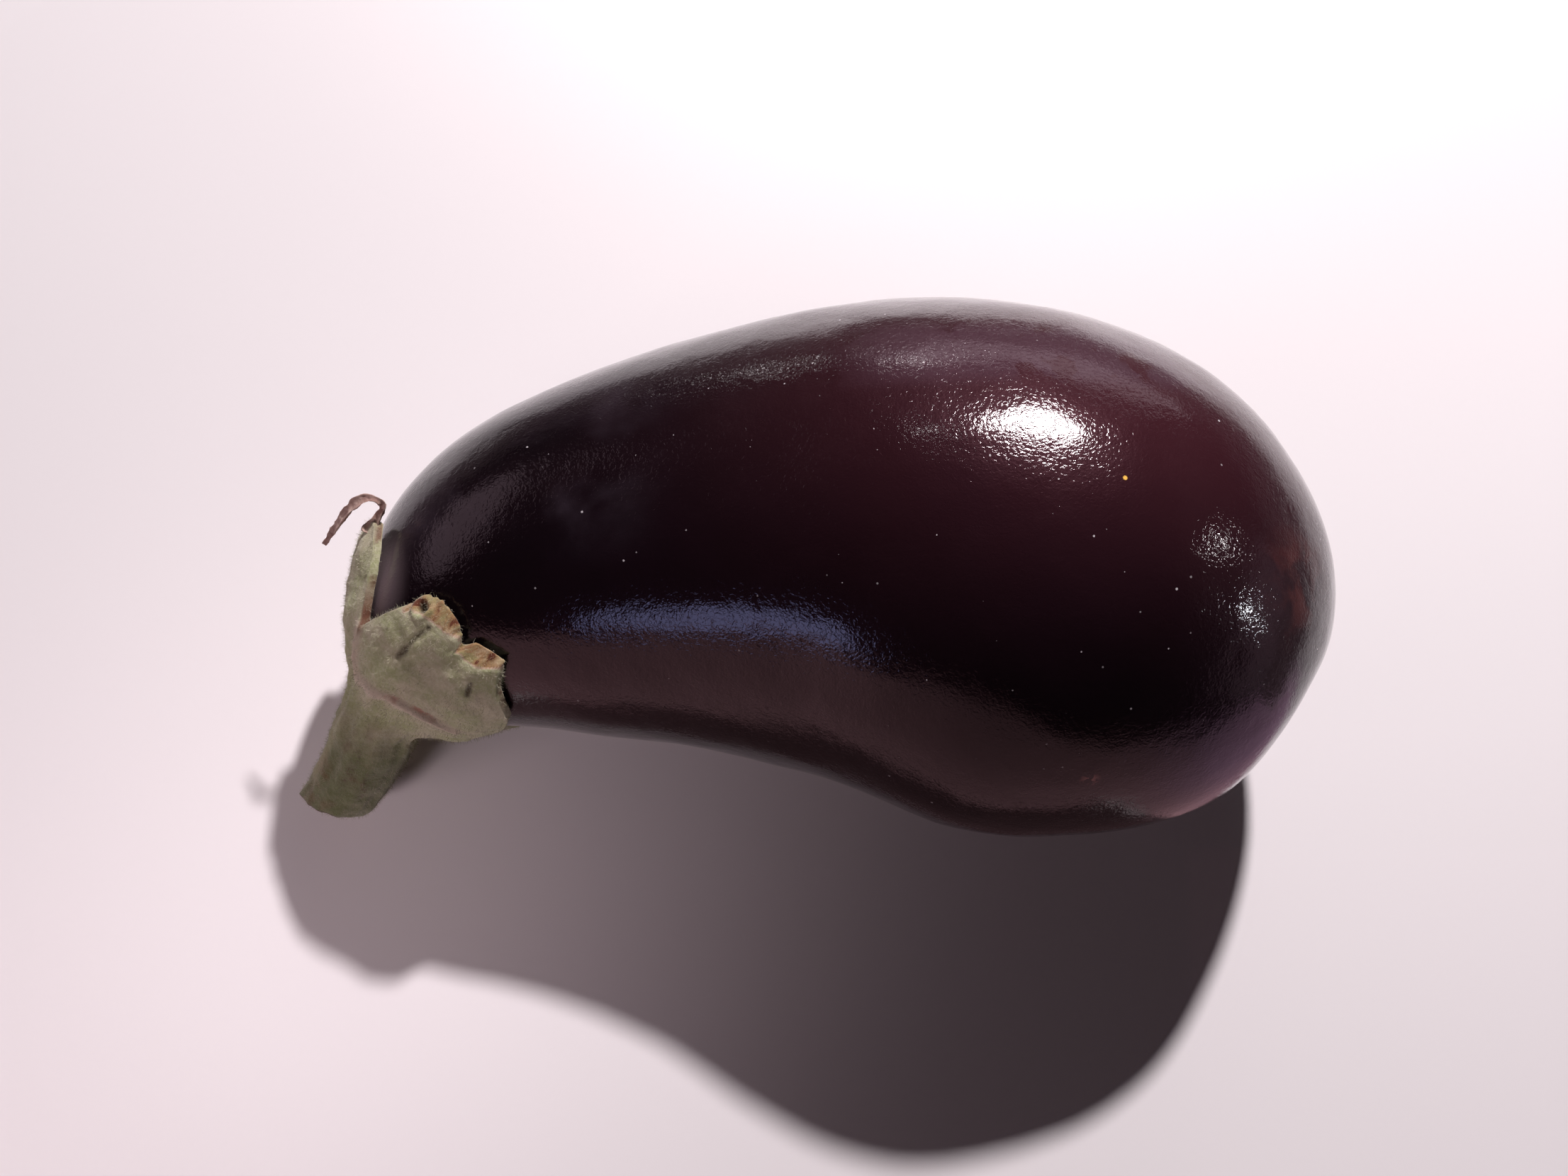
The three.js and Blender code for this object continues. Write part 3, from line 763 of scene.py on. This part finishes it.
def add_hairs(name, source, count, allowed, seed):
    """Short tapered hairs that stand out of a piece where it is allowed, as one mesh."""
    draw = np.random.default_rng(seed)
    mesh = source.data
    mesh.calc_loop_triangles()
    corners = np.empty(len(mesh.loop_triangles) * 3, int)
    mesh.loop_triangles.foreach_get("vertices", corners)
    corners = corners.reshape(-1, 3)
    places = vertex_places(mesh) / MM
    a, b, c = places[corners[:, 0]], places[corners[:, 1]], places[corners[:, 2]]
    normal = np.cross(b - a, c - a)
    area = np.linalg.norm(normal, axis=1) / 2
    weight = area * allowed[corners].mean(1)
    picks = draw.choice(len(corners), count, p=weight / weight.sum())
    u, v = draw.random((2, count))
    flip = u + v > 1
    u, v = np.where(flip, 1 - u, u), np.where(flip, 1 - v, v)
    root = a[picks] + (b - a)[picks] * u[:, None] + (c - a)[picks] * v[:, None]
    out = unit(normal[picks])
    length = draw.uniform(*HAIR_LENGTH, count)[:, None] * draw.uniform(0.7, 1.0, (count, 1))
    heading = unit(out + HAIR_LEAN * draw.normal(size=(count, 3)))
    bent = unit(heading + HAIR_BEND * draw.normal(size=(count, 3)))
    knee = root + heading * length * 0.55
    tip = knee + bent * length * 0.45
    side = unit(np.cross(heading, draw.normal(size=(count, 3))))
    other = np.cross(heading, side)
    points = []
    for third in range(3):
        turn = 2 * math.pi * third / 3
        spoke = side * math.cos(turn) + other * math.sin(turn)
        points.append(root - out * HAIR_ROOT_DEPTH + spoke * HAIR_RADIUS)
        points.append(knee + spoke * HAIR_RADIUS * 0.7)
    points.append(tip)
    points = np.stack(points, 1).reshape(-1, 3) * MM
    faces = []
    for first in range(0, len(points), 7):
        roots = [first, first + 2, first + 4]
        faces.append((roots[0], roots[2], roots[1]))
        for third in range(3):
            low, high = roots[third], roots[(third + 1) % 3]
            faces.append((low, high, high + 1, low + 1))
            faces.append((low + 1, high + 1, first + 6))
    hairs = bpy.data.meshes.new(name)
    hairs.from_pydata(points.tolist(), [], faces)
    piece = bpy.data.objects.new(name, hairs)
    bpy.context.scene.collection.objects.link(piece)
    return piece


def add_node(tree, kind, inputs=None, **settings):
    """A shader node with its settings, and a value or a link for each input that is named."""
    node = tree.nodes.new(kind)
    for name, value in settings.items():
        setattr(node, name, value)
    for name, value in (inputs or {}).items():
        if isinstance(value, bpy.types.NodeSocket):
            tree.links.new(value, node.inputs[name])
        else:
            node.inputs[name].default_value = value
    return node


def noise(tree, place, scale, detail=3.0, roughness=0.5, distortion=0.0):
    values = {"Vector": place, "Scale": scale, "Detail": detail, "Roughness": roughness}
    values["Distortion"] = distortion
    return add_node(tree, "ShaderNodeTexNoise", values).outputs["Fac"]


def remap(tree, value, low, high, to_low=0.0, to_high=1.0):
    values = {"Value": value, "From Min": low, "From Max": high, "To Min": to_low, "To Max": to_high}
    node = add_node(tree, "ShaderNodeMapRange", values, interpolation_type="SMOOTHSTEP")
    return node.outputs["Result"]


def math_node(tree, operation, a, b=0.0):
    node = add_node(tree, "ShaderNodeMath", operation=operation)
    for socket, value in zip(node.inputs, (a, b)):
        if isinstance(value, bpy.types.NodeSocket):
            tree.links.new(value, socket)
        else:
            socket.default_value = value
    return node.outputs[0]


def multiply(tree, a, b):
    return math_node(tree, "MULTIPLY", a, b)


def mix_colour(tree, share, a, b):
    node = add_node(tree, "ShaderNodeMix", data_type="RGBA")
    factor, first, second = node.inputs[0], node.inputs[6], node.inputs[7]
    for socket, value in ((factor, share), (first, a), (second, b)):
        if isinstance(value, bpy.types.NodeSocket):
            tree.links.new(value, socket)
        elif isinstance(value, tuple):
            socket.default_value = (*value, 1.0)
        else:
            socket.default_value = value
    return node.outputs[2]


def read_attribute(tree, name):
    return add_node(tree, "ShaderNodeAttribute", attribute_name=name).outputs["Fac"]


def new_group(name, inputs, outputs):
    """An empty node group with its named sockets. Each input is (name, socket type, default)."""
    group = bpy.data.node_groups.new(name, "ShaderNodeTree")
    for label, kind, default in inputs:
        socket = group.interface.new_socket(label, in_out="INPUT", socket_type=kind)
        if default is not None:
            socket.default_value = default
    for label, kind in outputs:
        group.interface.new_socket(label, in_out="OUTPUT", socket_type=kind)
    return group, group.nodes.new("NodeGroupInput"), group.nodes.new("NodeGroupOutput")


def use_group(tree, group, **inputs):
    node = add_node(tree, "ShaderNodeGroup", node_tree=group)
    for name, value in inputs.items():
        socket = node.inputs[name.replace("_", " ")]
        if isinstance(value, bpy.types.NodeSocket):
            tree.links.new(value, socket)
        else:
            socket.default_value = value
    return node.outputs


def make_dust_group():
    """Scattered specks: a share of the cells of a Voronoi pattern hold one, of its own size."""
    group, given, result = new_group(
        "dust",
        [("Place", "NodeSocketVector", None), ("Scale", "NodeSocketFloat", 200.0),
         ("Size", "NodeSocketFloat", 0.05), ("Share", "NodeSocketFloat", 0.2)],
        [("Mask", "NodeSocketFloat")],
    )
    place, scale = given.outputs["Place"], given.outputs["Scale"]
    cells = add_node(group, "ShaderNodeTexVoronoi", {"Vector": place, "Scale": scale})
    channels = add_node(group, "ShaderNodeSeparateColor", {"Color": cells.outputs["Color"]})
    chosen = math_node(group, "LESS_THAN", channels.outputs["Red"], given.outputs["Share"])
    size = multiply(group, channels.outputs["Green"], given.outputs["Size"])
    inside = math_node(group, "LESS_THAN", cells.outputs["Distance"], size)
    group.links.new(multiply(group, chosen, inside), result.inputs["Mask"])
    return group


def make_mottle_group():
    """A cloudy mask with soft edges, for patches of colour or wear."""
    group, given, result = new_group(
        "mottle",
        [("Place", "NodeSocketVector", None), ("Scale", "NodeSocketFloat", 50.0),
         ("Low", "NodeSocketFloat", 0.4), ("High", "NodeSocketFloat", 0.6)],
        [("Mask", "NodeSocketFloat")],
    )
    cloud = noise(group, given.outputs["Place"], given.outputs["Scale"], 4.0, 0.55, 0.3)
    mask = remap(group, cloud, given.outputs["Low"], given.outputs["High"])
    group.links.new(mask, result.inputs["Mask"])
    return group


def make_mark_group():
    """A round mark with a soft rim at a place on the surface, in metres."""
    group, given, result = new_group(
        "mark",
        [("Place", "NodeSocketVector", None), ("Centre", "NodeSocketVector", None),
         ("Inner", "NodeSocketFloat", 0.001), ("Outer", "NodeSocketFloat", 0.002)],
        [("Mask", "NodeSocketFloat")],
    )
    between = add_node(group, "ShaderNodeVectorMath", operation="DISTANCE")
    group.links.new(given.outputs["Place"], between.inputs[0])
    group.links.new(given.outputs["Centre"], between.inputs[1])
    away = between.outputs["Value"]
    mask = remap(group, away, given.outputs["Inner"], given.outputs["Outer"], 1.0, 0.0)
    group.links.new(mask, result.inputs["Mask"])
    return group


def new_material(name):
    material = bpy.data.materials.new(name)
    material.use_nodes = True
    tree = material.node_tree
    place = add_node(tree, "ShaderNodeTexCoord").outputs["Object"]
    return material, tree, tree.nodes["Principled BSDF"], place


def add_bump(tree, shader, height, strength, distance):
    values = {"Height": height, "Strength": strength, "Distance": distance}
    bump = add_node(tree, "ShaderNodeBump", values)
    tree.links.new(bump.outputs["Normal"], shader.inputs["Normal"])
    tree.links.new(bump.outputs["Normal"], shader.inputs["Coat Normal"])


def set_inputs(shader, **values):
    """Plain values for a shader's inputs, named with _ for each blank."""
    for name, value in values.items():
        shader.inputs[name.replace("_", " ")].default_value = value


def mottled(tree, groups, place, scale, low, high):
    return use_group(tree, groups["mottle"], Place=place, Scale=scale, Low=low, High=high)[0]


def dusted(tree, groups, place, scale, size, share):
    return use_group(tree, groups["dust"], Place=place, Scale=scale, Size=size, Share=share)[0]


def marked(tree, groups, place, mark):
    """The mask of one mark, given as its centre, inner radius and outer radius."""
    centre, inner, outer = mark
    return use_group(tree, groups["mark"], Place=place, Centre=centre, Inner=inner, Outer=outer)[0]


def fade_in(tree, first, first_ends, second, second_ends):
    """A mask that is full where two values have both passed from one end to the other."""
    return multiply(tree, remap(tree, first, *first_ends), remap(tree, second, *second_ends))


def beside(tree, line, full, gone, strength):
    """A mask along a line of the calyx: strong up to one distance in mm, and gone at another."""
    return remap(tree, read_attribute(tree, line), full, gone, strength, 0.0)


def skin_material(groups):
    """Waxy, nearly black purple skin: redder on top at the blossom end, partly painted glow of the key
    light, with fine crackled wrinkles, smudges that carry painted reflections, dust, a few small scars
    and a pale patch of painted reflection by the calyx."""
    material, tree, shader, place = new_material("eggplant_skin")
    axes = add_node(tree, "ShaderNodeSeparateXYZ", {"Vector": place}).outputs
    x, y = axes["X"], axes["Y"]
    # Redder towards the key light: partly the skin's own tone, partly painted glow.
    redder = fade_in(tree, x, REDDER_AND_LIT_X, y, REDDER_AND_LIT_Y)
    patches = mottled(tree, groups, place, 28.0, 0.35, 0.7)
    colour = mix_colour(tree, redder, SKIN_DARK, SKIN_RED_AND_LIT)
    colour = mix_colour(tree, multiply(tree, patches, 0.25), colour, SKIN_PATCH)
    across = fade_in(tree, y, FILM_AND_REFLECTION_FRONT, y, FILM_AND_REFLECTION_BACK)
    lengthwise = fade_in(tree, x, FILM_AND_REFLECTION_LEFT, x, FILM_AND_REFLECTION_RIGHT)
    # Hazy patch on the left shoulder: partly smudged wax, partly painted reflection of the dim light
    # from the left.
    shoulder = fade_in(tree, x, HAZE_AND_REFLECTION_X, y, HAZE_AND_REFLECTION_Y)
    haze_and_reflection = multiply(tree, mottled(tree, groups, place, 55.0, 0.42, 0.72), shoulder)
    colour = mix_colour(tree, haze_and_reflection, colour, HAZE_AND_REFLECTION_GREY)
    # Mauve blotches along the top: partly a smudged film, partly painted reflection of a lit wall.
    film_and_reflection = mottled(tree, groups, place, 85.0, 0.44, 0.48)
    film_and_reflection = multiply(tree, film_and_reflection, multiply(tree, across, lengthwise))
    colour = mix_colour(tree, multiply(tree, film_and_reflection, 0.8), colour, MAUVE_FILM_AND_REFLECTION)
    # Painted reflection of the bright floor, as a pale patch beside the first sepal.
    colour = mix_colour(tree, marked(tree, groups, place, PALE_REFLECTION_PATCH), colour, REFLECTION_GREY)
    fine = mottled(tree, groups, place, 160.0, 0.42, 0.66)
    red_end = multiply(tree, marked(tree, groups, place, RED_END), fine)
    colour = mix_colour(tree, red_end, colour, END_RED)
    broken = mottled(tree, groups, place, 700.0, 0.45, 0.55)
    small_scar = multiply(tree, marked(tree, groups, place, SMALL_SCAR), broken)
    colour = mix_colour(tree, small_scar, colour, SCAR_RED)
    ragged = multiply(tree, noise(tree, place, 650.0, 3.0, 0.6), 2.4)
    from_scar = math_node(tree, "ADD", read_attribute(tree, "from_scar"), ragged)
    blossom_scar = remap(tree, from_scar, SCAR_RADIUS + 0.7, SCAR_RADIUS + 1.4, 0.9, 0.0)
    corky = mix_colour(tree, broken, CORK_LIGHT, CORK_DARK)
    colour = mix_colour(tree, blossom_scar, colour, corky)
    dust = dusted(tree, groups, place, 260.0, 0.055, 0.9)
    fine_dust = dusted(tree, groups, place, 400.0, 0.07, 0.5)
    dust = math_node(tree, "MAXIMUM", dust, multiply(tree, fine_dust, 0.5))
    colour = mix_colour(tree, dust, colour, DUST_GREY)
    colour = mix_colour(tree, marked(tree, groups, place, YELLOW_SPECK), colour, SPECK_YELLOW)
    tree.links.new(colour, shader.inputs["Base Color"])
    smudge = mottled(tree, groups, place, 75.0, 0.45, 0.75)
    rough = remap(tree, smudge, 0.0, 1.0, 0.34, 0.46)
    rough = math_node(tree, "ADD", rough, multiply(tree, dust, 0.4))
    tree.links.new(rough, shader.inputs["Roughness"])
    set_inputs(shader, IOR=1.17, Specular_Tint=SKIN_SHEEN)
    set_inputs(shader, Coat_Weight=1.0, Coat_Roughness=0.047, Coat_IOR=1.4)
    mapping = add_node(tree, "ShaderNodeMapping", {"Vector": place, "Scale": STRETCHED_ROUND})
    crackle = noise(tree, place, 1600.0, 2.0, 0.5, 1.0)
    streaks = noise(tree, mapping.outputs["Vector"], 1800.0, 1.0, 0.5)
    ripples = noise(tree, place, 380.0, 1.0, 0.5)
    height = math_node(tree, "ADD", crackle, multiply(tree, streaks, 0.3))
    height = math_node(tree, "ADD", height, multiply(tree, ripples, 0.9))
    add_bump(tree, shader, height, 1.0, 0.00005)
    return material


def torn_tissue(tree, turned, from_edge, blotches):
    """Cream tissue with fibres that run out to the torn edge, some tan and some rusty."""
    turn = multiply(tree, turned, 0.2)
    inwards = multiply(tree, from_edge, 0.25)
    fibres = add_node(tree, "ShaderNodeCombineXYZ", {"X": turn, "Y": inwards}).outputs["Vector"]
    streaks = noise(tree, fibres, 1.0, 3.0, 0.6, 0.6)
    tissue = mix_colour(tree, blotches, TISSUE_CREAM, TISSUE_OLIVE)
    tissue = mix_colour(tree, remap(tree, streaks, 0.46, 0.6), tissue, TISSUE_TAN)
    return mix_colour(tree, remap(tree, streaks, 0.58, 0.64), tissue, TISSUE_RUST)


def calyx_material(groups):
    """Woolly grey-green skin with paler ridges, brown stains and creases, and torn edges of
    cream tissue streaked with rust."""
    material, tree, shader, place = new_material("calyx_green")
    patches = mottled(tree, groups, place, 190.0, 0.35, 0.68)
    wool = mottled(tree, groups, place, 1500.0, 0.42, 0.66)
    blotches = mottled(tree, groups, place, 240.0, 0.4, 0.6)
    stains = mottled(tree, groups, place, 130.0, 0.5, 0.66)
    colour = mix_colour(tree, patches, CALYX_GREEN, CALYX_TAN)
    colour = mix_colour(tree, multiply(tree, wool, 0.4), colour, CALYX_WOOL)
    down_stem = read_attribute(tree, "down_stem")
    darker = remap(tree, down_stem, 0.06, 0.45, 0.0, 0.82)
    colour = mix_colour(tree, darker, colour, STEM_GREEN)
    on_stem = remap(tree, down_stem, 0.1, 0.35)
    stained = multiply(tree, multiply(tree, stains, on_stem), 0.6)
    colour = mix_colour(tree, stained, colour, STEM_STAIN)
    streak = beside(tree, "from_streak", 0.2, 1.0, 0.75)
    colour = mix_colour(tree, multiply(tree, streak, wool), colour, STREAK_BROWN)
    rib = beside(tree, "from_pale_rib", 0.2, 1.8, 0.35)
    colour = mix_colour(tree, rib, colour, RIB_PALE)
    pale = beside(tree, "from_ridge", 0.4, 2.0, 0.75)
    colour = mix_colour(tree, pale, colour, RIDGE_PALE)
    pink = beside(tree, "from_pink", 0.15, 0.75, 0.85)
    colour = mix_colour(tree, multiply(tree, pink, blotches), colour, STREAK_PINK)
    dark = beside(tree, "from_dark", 0.1, 0.8, 0.9)
    broken = remap(tree, noise(tree, place, 900.0, 3.0, 0.6), 0.35, 0.55, 0.55, 1.0)
    colour = mix_colour(tree, multiply(tree, dark, broken), colour, CREASE_BROWN)
    from_edge = read_attribute(tree, "from_edge")
    rim = remap(tree, math_node(tree, "ABSOLUTE", from_edge), 0.1, 0.5, 0.8, 0.0)
    colour = mix_colour(tree, multiply(tree, rim, blotches), colour, RIM_RUST)
    turned = read_attribute(tree, "degrees_round")
    aside = math_node(tree, "ABSOLUTE", math_node(tree, "SUBTRACT", turned, NOTCH_ANGLE))
    by_angle = remap(tree, aside, 1.0, 5.5, 1.0, 0.0)
    notch = multiply(tree, by_angle, remap(tree, from_edge, 0.4, 2.4, 0.8, 0.0))
    colour = mix_colour(tree, notch, colour, NOTCH_RUST)
    torn = read_attribute(tree, "torn")
    tissue = torn_tissue(tree, turned, from_edge, blotches)
    border = multiply(tree, torn, math_node(tree, "SUBTRACT", 1.0, torn))
    colour = mix_colour(tree, remap(tree, torn, 0.25, 0.7), colour, tissue)
    colour = mix_colour(tree, remap(tree, border, 0.1, 0.24, 0.0, 0.6), colour, TORN_BORDER)
    hollow = beside(tree, "from_hollow", 0.5, 1.1, 0.9)
    colour = mix_colour(tree, hollow, colour, HOLLOW_BROWN)
    cut = remap(tree, down_stem, 0.985, 1.0)
    colour = mix_colour(tree, cut, colour, CUT_RIM_BROWN)
    face = remap(tree, down_stem, 1.04, 1.12)
    face_grain = noise(tree, place, 900.0, 4.0, 0.6)
    face_colour = mix_colour(tree, face_grain, CUT_FACE_DARK, CUT_FACE_LIGHT)
    colour = mix_colour(tree, face, colour, face_colour)
    tree.links.new(colour, shader.inputs["Base Color"])
    set_inputs(shader, Roughness=0.85, Specular_IOR_Level=0.25)
    set_inputs(shader, Sheen_Weight=0.35, Sheen_Roughness=0.5, Sheen_Tint=CALYX_SHEEN)
    down = noise(tree, place, 1900.0, 4.0, 0.65)
    height = math_node(tree, "ADD", down, noise(tree, place, 600.0, 3.0))
    add_bump(tree, shader, height, 0.6, 0.0003)
    return material


def dried_material(groups):
    """Pinkish brown, dead and shrivelled."""
    material, tree, shader, place = new_material("dried_brown")
    patches = mottled(tree, groups, place, 420.0, 0.35, 0.65)
    colour = mix_colour(tree, patches, DRIED_DARK, DRIED_LIGHT)
    tree.links.new(colour, shader.inputs["Base Color"])
    set_inputs(shader, Roughness=0.9, Specular_IOR_Level=0.2)
    add_bump(tree, shader, noise(tree, place, 1500.0, 4.0, 0.6), 0.5, 0.0003)
    return material


def hair_material(groups):
    """Pale, dry wool."""
    material, tree, shader, place = new_material("pale_wool")
    tint = mottled(tree, groups, place, 300.0, 0.35, 0.65)
    colour = mix_colour(tree, tint, HAIR_DARK, HAIR_LIGHT)
    tree.links.new(colour, shader.inputs["Base Color"])
    set_inputs(shader, Roughness=0.8, Specular_IOR_Level=0.3)
    return material


def floor_material():
    """Plain and pale, a little pink."""
    material, tree, shader, place = new_material("pale_floor")
    grain = noise(tree, place, 900.0, 3.0, 0.6)
    colour = mix_colour(tree, grain, FLOOR_DARK, FLOOR_LIGHT)
    tree.links.new(colour, shader.inputs["Base Color"])
    set_inputs(shader, Roughness=0.65, Specular_IOR_Level=0.2)
    return material


def towards(azimuth, elevation):
    """A direction from its azimuth, counted from +X towards +Y, and its elevation, in degrees."""
    a, e = math.radians(azimuth), math.radians(elevation)
    return Vector((math.cos(a) * math.cos(e), math.sin(a) * math.cos(e), math.sin(e)))


def add_lamp(name, azimuth, elevation, distance, size, brightness, colour, target):
    """An oval lamp that faces a target in mm, of a brightness per square metre."""
    data = bpy.data.lights.new(name, "AREA")
    data.shape = "ELLIPSE"
    data.size, data.size_y = size
    data.energy = brightness * math.pi * (math.pi / 4) * size[0] * size[1]
    data.color = colour
    lamp = bpy.data.objects.new(name, data)
    away = towards(azimuth, elevation)
    lamp.location = Vector(target) * MM + away * distance
    lamp.rotation_mode = "QUATERNION"
    lamp.rotation_quaternion = away.to_track_quat("Z", "Y")
    lamp.visible_camera = False
    bpy.context.scene.collection.objects.link(lamp)
    return lamp


def add_spot(name, place, target, cone, energy, colour):
    """A soft round pool of light on the floor, from a place to a target in metres."""
    data = bpy.data.lights.new(name, "SPOT")
    data.energy = energy
    data.color = colour
    data.spot_size = math.radians(cone)
    data.spot_blend = 1.0
    data.shadow_soft_size = 0.04
    lamp = bpy.data.objects.new(name, data)
    lamp.location = place
    lamp.rotation_mode = "QUATERNION"
    lamp.rotation_quaternion = (Vector(place) - Vector(target)).to_track_quat("Z", "Y")
    lamp.visible_glossy = False
    bpy.context.scene.collection.objects.link(lamp)


def add_sheet(name, rows, material):
    """A glowing sheet between rows of (x, y, z, glow), in mm, that only reflections show."""
    columns = len(rows[0])
    corners = np.array(rows, float).reshape(-1, 4)
    faces = []
    for row in range(len(rows) - 1):
        for column in range(columns - 1):
            first = row * columns + column
            faces.append((first, first + 1, first + columns + 1, first + columns))
    mesh = bpy.data.meshes.new(name)
    mesh.from_pydata((corners[:, :3] * MM).tolist(), [], faces)
    store(mesh, "glow", corners[:, 3])
    mesh.materials.append(material)
    sheet = bpy.data.objects.new(name, mesh)
    bpy.context.scene.collection.objects.link(sheet)
    sheet.visible_camera = False
    sheet.visible_diffuse = False
    sheet.visible_transmission = False
    sheet.visible_shadow = False


def sheet_material(name, dim, bright, by_glow, ends):
    """Light of a sheet's own glow. Its colour goes from dim to bright by the glow, or along X."""
    material = bpy.data.materials.new(name)
    material.use_nodes = True
    tree = material.node_tree
    tree.nodes.clear()
    place = add_node(tree, "ShaderNodeTexCoord").outputs["Object"]
    glow = read_attribute(tree, "glow")
    along_x = add_node(tree, "ShaderNodeSeparateXYZ", {"Vector": place}).outputs["X"]
    share = remap(tree, glow if by_glow else along_x, *ends)
    colour = mix_colour(tree, share, dim, bright)
    emission = add_node(tree, "ShaderNodeEmission", {"Color": colour, "Strength": glow})
    output = add_node(tree, "ShaderNodeOutputMaterial")
    tree.links.new(emission.outputs["Emission"], output.inputs["Surface"])
    return material


def add_dim_sheet(material):
    """The surroundings beyond the lit part of the floor, as an open ring."""
    width, depth = POOL_RADII
    turn = np.radians(np.linspace(180, 0, 25))
    arc = [(width * math.cos(t), POOL_MIDDLE_Y + depth * math.sin(t)) for t in turn]
    outline = [(-width, POOL_FRONT_Y), *arc, (width, POOL_FRONT_Y)]
    rows = []
    for share, glow in POOL_SHEET:
        row = []
        for x, y in outline:
            outwards = max(y - POOL_MIDDLE_Y, 0)
            row.append((x * share, y + outwards * (share - 1), SHEET_HEIGHT, glow))
        rows.append(row)
    add_sheet("dim_sheet", rows, material)


def add_mirrored_room():
    """The dim surroundings, and the shade, floor and room in front, as the skin mirrors them."""
    front_glow = sheet_material("mirrored_front", FRONT_BROWN, FRONT_PURPLE, False, FRONT_PURPLE_X)
    floor_glow = sheet_material("mirrored_floor", POOL_DIM, POOL_LIT, True, POOL_LIT_GLOW)
    add_dim_sheet(floor_glow)
    back = [(x, SHADE_BACK, SHEET_HEIGHT, glow) for x, glow in SHADE_SHEET]
    front = [(x, SHEET_FRONT, SHEET_HEIGHT, glow) for x, glow in SHADE_SHEET]
    add_sheet("shade_sheet", [back, front], front_glow)
    back = [(x, RIGHT_SHEET_BACK, SHEET_HEIGHT, near) for x, near, far in RIGHT_SHEET]
    front = [(x, SHEET_FRONT, SHEET_HEIGHT, far) for x, near, far in RIGHT_SHEET]
    add_sheet("right_sheet", [back, front], front_glow)
    foot = [(x, SHEET_FRONT, SHEET_HEIGHT, glow) for x, top, glow in STANDING_SHEET]
    upper = [(x, SHEET_FRONT, top * STANDING_FADE, glow) for x, top, glow in STANDING_SHEET]
    edge = [(x, SHEET_FRONT, top, 0) for x, top, glow in STANDING_SHEET]
    add_sheet("standing_sheet", [foot, upper, edge], front_glow)


def add_lights():
    """A key light from behind, a fill from the left, and the cards that the glossy skin mirrors."""
    for settings in SHINING_LAMPS:
        add_lamp(*settings).visible_glossy = False
    for settings in CARDS:
        add_lamp(*settings).visible_diffuse = False
    for settings in FLOOR_POOLS:
        add_spot(*settings)
    world = bpy.data.worlds.new("room")
    world.use_nodes = True
    room = world.node_tree.nodes["Background"]
    room.inputs["Color"].default_value = ROOM_COLOUR
    room.inputs["Strength"].default_value = ROOM_STRENGTH
    bpy.context.scene.world = world


def add_camera():
    data = bpy.data.cameras.new("camera")
    data.sensor_width = SENSOR_WIDTH
    data.lens = SENSOR_WIDTH * FOCAL_LENGTH_IN_PIXELS / PICTURE_WIDTH
    data.clip_start = 0.01
    camera = bpy.data.objects.new("camera", data)
    back = Vector((0, -math.cos(CAMERA_ELEVATION), math.sin(CAMERA_ELEVATION)))
    camera.location = LOOK_AT + back * CAMERA_DISTANCE
    camera.rotation_euler = (math.pi / 2 - CAMERA_ELEVATION, 0, 0)
    bpy.context.scene.collection.objects.link(camera)
    bpy.context.scene.camera = camera


def add_floor():
    bpy.ops.object.select_all(action="DESELECT")
    bpy.ops.mesh.primitive_plane_add(size=6)
    floor = bpy.context.object
    floor.name = "floor"
    floor.data.materials.append(floor_material())


def finish_piece(piece, material, slot, *nodes):
    piece.data.materials.clear()
    piece.data.materials.append(material)
    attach(piece, "root")
    if nodes:
        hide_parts(*nodes)


add_camera()
add_floor()
add_lights()
add_mirrored_room()
bpy.context.scene.view_settings.view_transform = "Standard"

groups = {"dust": make_dust_group(), "mottle": make_mottle_group(), "mark": make_mark_group()}
fruit = add_fruit()
calyx = add_calyx()
dried_tip = add_dried_tip()
calyx_edge_here = np.empty(len(calyx.data.vertices), np.float32)
calyx.data.attributes["from_edge"].data.foreach_get("value", calyx_edge_here)
calyx_hairs = add_hairs("calyx_wool", calyx, HAIR_COUNT, (calyx_edge_here > -1) * 1.0, SEED)
green = calyx_material(groups)
wool = hair_material(groups)
finish_piece(fruit, skin_material(groups), "skin", "fruit")
finish_piece(calyx, green, "calyx", "calyx_and_stem")
finish_piece(dried_tip, dried_material(groups), "calyx")
finish_piece(calyx_hairs, wool, "calyx")
